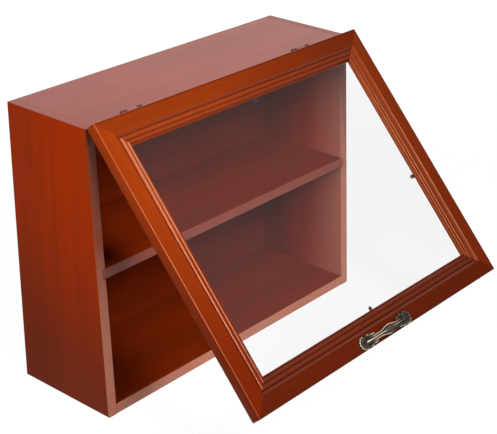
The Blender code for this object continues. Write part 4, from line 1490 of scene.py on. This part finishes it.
@dataclass
class Hinges:
    """Two butt hinges: a leaf with end knuckles on the case, a leaf with the middle knuckle on the door."""

    case_line: HingeLine
    door_line: HingeLine
    left_inset: float = 0.068
    right_inset: float = 0.0935
    length: float = 0.030
    barrel: float = 0.00249
    barrel_round: float = 0.00035
    end_knuckle: float = 0.0075
    gap: float = 0.0003
    leaf_width: float = 0.0135
    leaf_start: float = 0.0004
    leaf_corner: float = 0.0012
    near: float = 0.00015
    thickness: float = 0.0009
    pin_radius: float = 0.0011
    screw_step: float = 0.009
    screw: Screw = Screw(head=0.0019, rise=0.0001, shank=0.0010, length=0.0086, slot=0.0003)

    def knuckle(self, skin: Skin, line: HingeLine, x: float, low: float, high: float) -> None:
        """A round barrel along X with chamfered ends.

        Args:
            skin: What it is added to.
            line: The pins' line to carry it with.
            x: The hinge's middle.
            low: Where the knuckle starts from that middle.
            high: Where it ends.
        """
        cut = self.barrel_round
        stations = np.array([low, low + cut, high - cut, high])
        radii = np.array([self.barrel - cut, self.barrel, self.barrel, self.barrel - cut])
        bar = np.stack([stations + x, 0 * stations, 0 * stations], -1)
        skin.grid(line.carry(tube(bar, radii, radii, 40)), 0.55)

    def leaf(self, skin: Skin, line: HingeLine, x: float, way: int, spans: list[tuple[float, float]]) -> None:
        """The flat of a leaf, and the strip that joins it to each of its knuckles.

        Args:
            skin: What it is added to.
            line: The pins' line to carry it with.
            x: The hinge's middle.
            way: 1 for the case's leaf, -1 for the door's.
            spans: Where its knuckles lie along the pin.
        """
        near, far = way * self.near, way * (self.near + self.thickness)
        top = -self.barrel - self.leaf_start
        half_z = (self.leaf_width + top) / 2
        plate = slab(self.length / 2, half_z, self.leaf_corner, near, far, 0.00015)
        skin.grid(line.carry(plate + np.array([x, 0, top - half_z])), 0.4)
        for low, high in spans:
            self.knuckle(skin, line, x, low, high)
            strip = slab((high - low) / 2, 0.0011, 0.0003, near, far, 0.0001)
            skin.grid(line.carry(strip + np.array([x + (low + high) / 2, 0, top + 0.0003])), 0.4)

    def build(self) -> None:
        """Make both hinges with their pins and screws."""
        # Painted shade and highlight: the case's leaf, pin and screws take a dark bronze that paints the
        # shade at the end knuckles, and the door's leaf a pale one that paints the highlight on the middle
        # knuckle.
        dark = Bronze(
            "hinge_shaded_bronze", (0.050, 0.020, 0.017), (0.120, 0.050, 0.044), (0.30, 0.16, 0.13), 0.4, 0.2
        ).material()
        pale = Bronze(
            "hinge_highlit_brass", (0.16, 0.060, 0.050), (0.40, 0.155, 0.125), (0.50, 0.27, 0.22), 1.0, 0.2
        ).material()
        half, middle = self.length / 2, self.length / 2 - self.end_knuckle
        for hand, side, inset in (("left", -1, self.left_inset), ("right", 1, self.right_inset)):
            x = side * (CASE.width / 2 - inset)
            fixed, swung, pin = Skin(), Skin(), Skin()
            self.leaf(fixed, self.case_line, x, 1, [(-half, -middle), (middle, half)])
            self.leaf(swung, self.door_line, x, -1, [(-middle + self.gap, middle - self.gap)])
            self.pin(pin, x, side)
            for skin, name, finish, body, node in (
                (fixed, "fixed_leaf", dark, Rides.CASE, "case_leaf"),
                (swung, "swung_leaf", pale, Rides.DOOR, "door_leaf"),
                (pin, "pin", dark, Rides.CASE, "pin"),
            ):
                settle(skin.piece(f"{hand}_{name}", finish), body, [f"{hand}_hinge_{node}"])
            self.screws(hand, x, dark)

    def pin(self, skin: Skin, x: float, side: int) -> None:
        """The pin, with a low domed head at its outer end.

        Args:
            skin: What it is added to.
            x: The hinge's middle.
            side: -1 for the left hinge, 1 for the right.
        """
        half = self.length / 2
        stations = np.array([-half, half, half + 0.00015, half + 0.0004, half + 0.0007, half + 0.00095])
        radii = np.array([self.pin_radius, self.pin_radius, 0.0021, 0.0021, 0.0016, 0.0004])
        bar = np.stack([x + side * stations, 0 * stations, 0 * stations], -1)
        skin.grid(self.case_line.carry(tube(bar, radii, radii, 32)), 0.5)

    def screws(self, hand: str, x: float, finish: bpy.types.Material) -> None:
        """Two slotted screws in each leaf.

        Args:
            hand: left or right.
            x: The hinge's middle.
            finish: Their material.
        """
        rings = self.screw.rings()
        up = -DOOR.pin_rise - CASE.board / 2 + rings[..., 1]
        for member, way, line, body in (
            ("case", 1, self.case_line, Rides.CASE),
            ("door", -1, self.door_line, Rides.DOOR),
        ):
            across = way * (self.near - rings[..., 2])
            for number, step in ((1, -self.screw_step), (2, self.screw_step)):
                points = line.carry(np.stack([x + step + rings[..., 0], across, up], -1))
                name = f"{hand}_{member}_leaf_screw_{number}"
                node = f"{hand}_hinge_{member}_screw_{number}"
                settle_screw(points, name, finish, body, node)


@dataclass(frozen=True)
class Softbox:
    """A square lamp that faces the case."""

    name: str
    toward: Triple
    distance: float
    size: float
    level: float
    mirrored: bool = True

    def build(self) -> None:
        """Make the lamp. Its power is its level times the square of pi times the distance."""
        data = bpy.data.lights.new(self.name, "AREA")
        data.shape = "SQUARE"
        data.size = self.size
        data.energy = self.level * (math.pi * self.distance) ** 2
        lamp = bpy.data.objects.new(self.name, data)
        way = Vector(self.toward).normalized()
        lamp.location = Vector((0.0, -0.1, 0.2)) + way * self.distance
        lamp.rotation_euler = way.to_track_quat("Z", "Y").to_euler()
        lamp.visible_camera = False
        lamp.visible_transmission = False
        lamp.visible_glossy = self.mirrored
        bpy.context.scene.collection.objects.link(lamp)


@dataclass
class Studio:
    """The camera, the pale floor, the backdrop and the lamps."""

    eye: Triple = (-1.09702, -1.03326, 0.85996)
    turn_degrees: Triple = (64.8994, -0.4400, -48.9943)
    lens: float = 96.652
    ambient: float = 0.25
    room: float = 0.03
    floor_radius: float = 14.0
    floor_drop: float = 0.0002
    shine_centre: Triple = (0.5, -0.6, 0.0)
    panel_way: Triple = (0.69, 0.65, 0.32)
    lamps: tuple[Softbox, ...] = (
        Softbox("key", (-0.247, -0.726, 0.642), 2.2, 0.53, 0.70),
        Softbox("side", (-0.860, -0.180, 0.470), 2.4, 1.2, 0.50),
        Softbox("fill", (0.780, 0.600, 0.150), 2.4, 0.9, 0.50, mirrored=False),
    )

    def camera(self) -> None:
        """Put the camera where the photograph was taken from."""
        data = bpy.data.cameras.new("camera")
        data.sensor_width = 36.0
        data.lens = self.lens
        data.clip_end = 60.0
        eye = bpy.data.objects.new("camera", data)
        eye.location = self.eye
        eye.rotation_euler = Euler([math.radians(angle) for angle in self.turn_degrees], "XYZ")
        bpy.context.scene.collection.objects.link(eye)
        bpy.context.scene.camera = eye

    def floor(self) -> None:
        """A round pale floor. It shows white, keeps the case's shadow, and shines most at the front right."""
        sides = 96
        flat = arc((0.0, 0.0), (self.floor_radius, self.floor_radius), 0, 360 - 360 / sides, sides)
        mesh = bpy.data.meshes.new("floor")
        points = np.column_stack([flat, np.full(len(flat), -self.floor_drop)])
        mesh.from_pydata(points.tolist(), [], [list(range(len(flat)))])
        finish = bpy.data.materials.new("pale_floor")
        graph = Graph(finish)
        seen, mirrored, _ = graph.rays()
        ends = {0: graph.source("Object"), 1: self.shine_centre}
        away = graph.value(graph.node("ShaderNodeVectorMath", {"operation": "DISTANCE"}, ends), "Value")
        pool = 1.0 - away.ease(0.60, 1.20)
        level = seen * (away.ease(0.6, 2.2) * 0.08 + 0.92) + mirrored * pool * 0.40
        graph.surface(
            {
                "Base Color": (0.10, 0.10, 0.10),
                "Roughness": 1.0,
                "Specular IOR Level": 0.0,
                "Emission Color": graph.mix(level, (0.0, 0.0, 0.0), (1.0, 1.0, 1.0)),
                "Emission Strength": 1.0,
            }
        )
        mesh.materials.append(finish)
        floor = bpy.data.objects.new("floor", mesh)
        bpy.context.scene.collection.objects.link(floor)

    def backdrop(self) -> None:
        """White to the eye, even and dim as light, and mirrored as a bright panel behind the case's right."""
        world = bpy.data.worlds.new("studio")
        bpy.context.scene.world = world
        graph = Graph(world)
        seen, mirrored, lighting = graph.rays()
        ways = {0: graph.source("Generated"), 1: self.panel_way}
        toward = graph.value(graph.node("ShaderNodeVectorMath", {"operation": "DOT_PRODUCT"}, ways), "Value")
        shine = toward.ease(0.72, 0.95) * (1.0 - self.room) + self.room
        level = seen + mirrored * shine + lighting * self.ambient
        sky = graph.node("ShaderNodeBackground", {}, {0: (1.0, 1.0, 1.0), 1: level})
        graph.node("ShaderNodeOutputWorld", {}, {"Surface": sky.outputs[0]})

    def build(self) -> None:
        """Make the camera, the floor, the backdrop and the lamps."""
        self.camera()
        self.floor()
        self.backdrop()
        for lamp in self.lamps:
            lamp.build()
        bpy.context.scene.view_settings.view_transform = "Standard"


def main() -> None:
    """Build the studio and every sub-assembly."""
    logging.basicConfig(level=logging.INFO, format="%(message)s")
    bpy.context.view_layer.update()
    case_line, door_line = hinge_lines()
    Studio().build()
    Carcass().build()
    MouldedFrame(door_line).build()
    Glazing(door_line).build()
    Pull(door_line).build()
    Hinges(case_line, door_line).build()


if __name__ == "__main__":
    main()
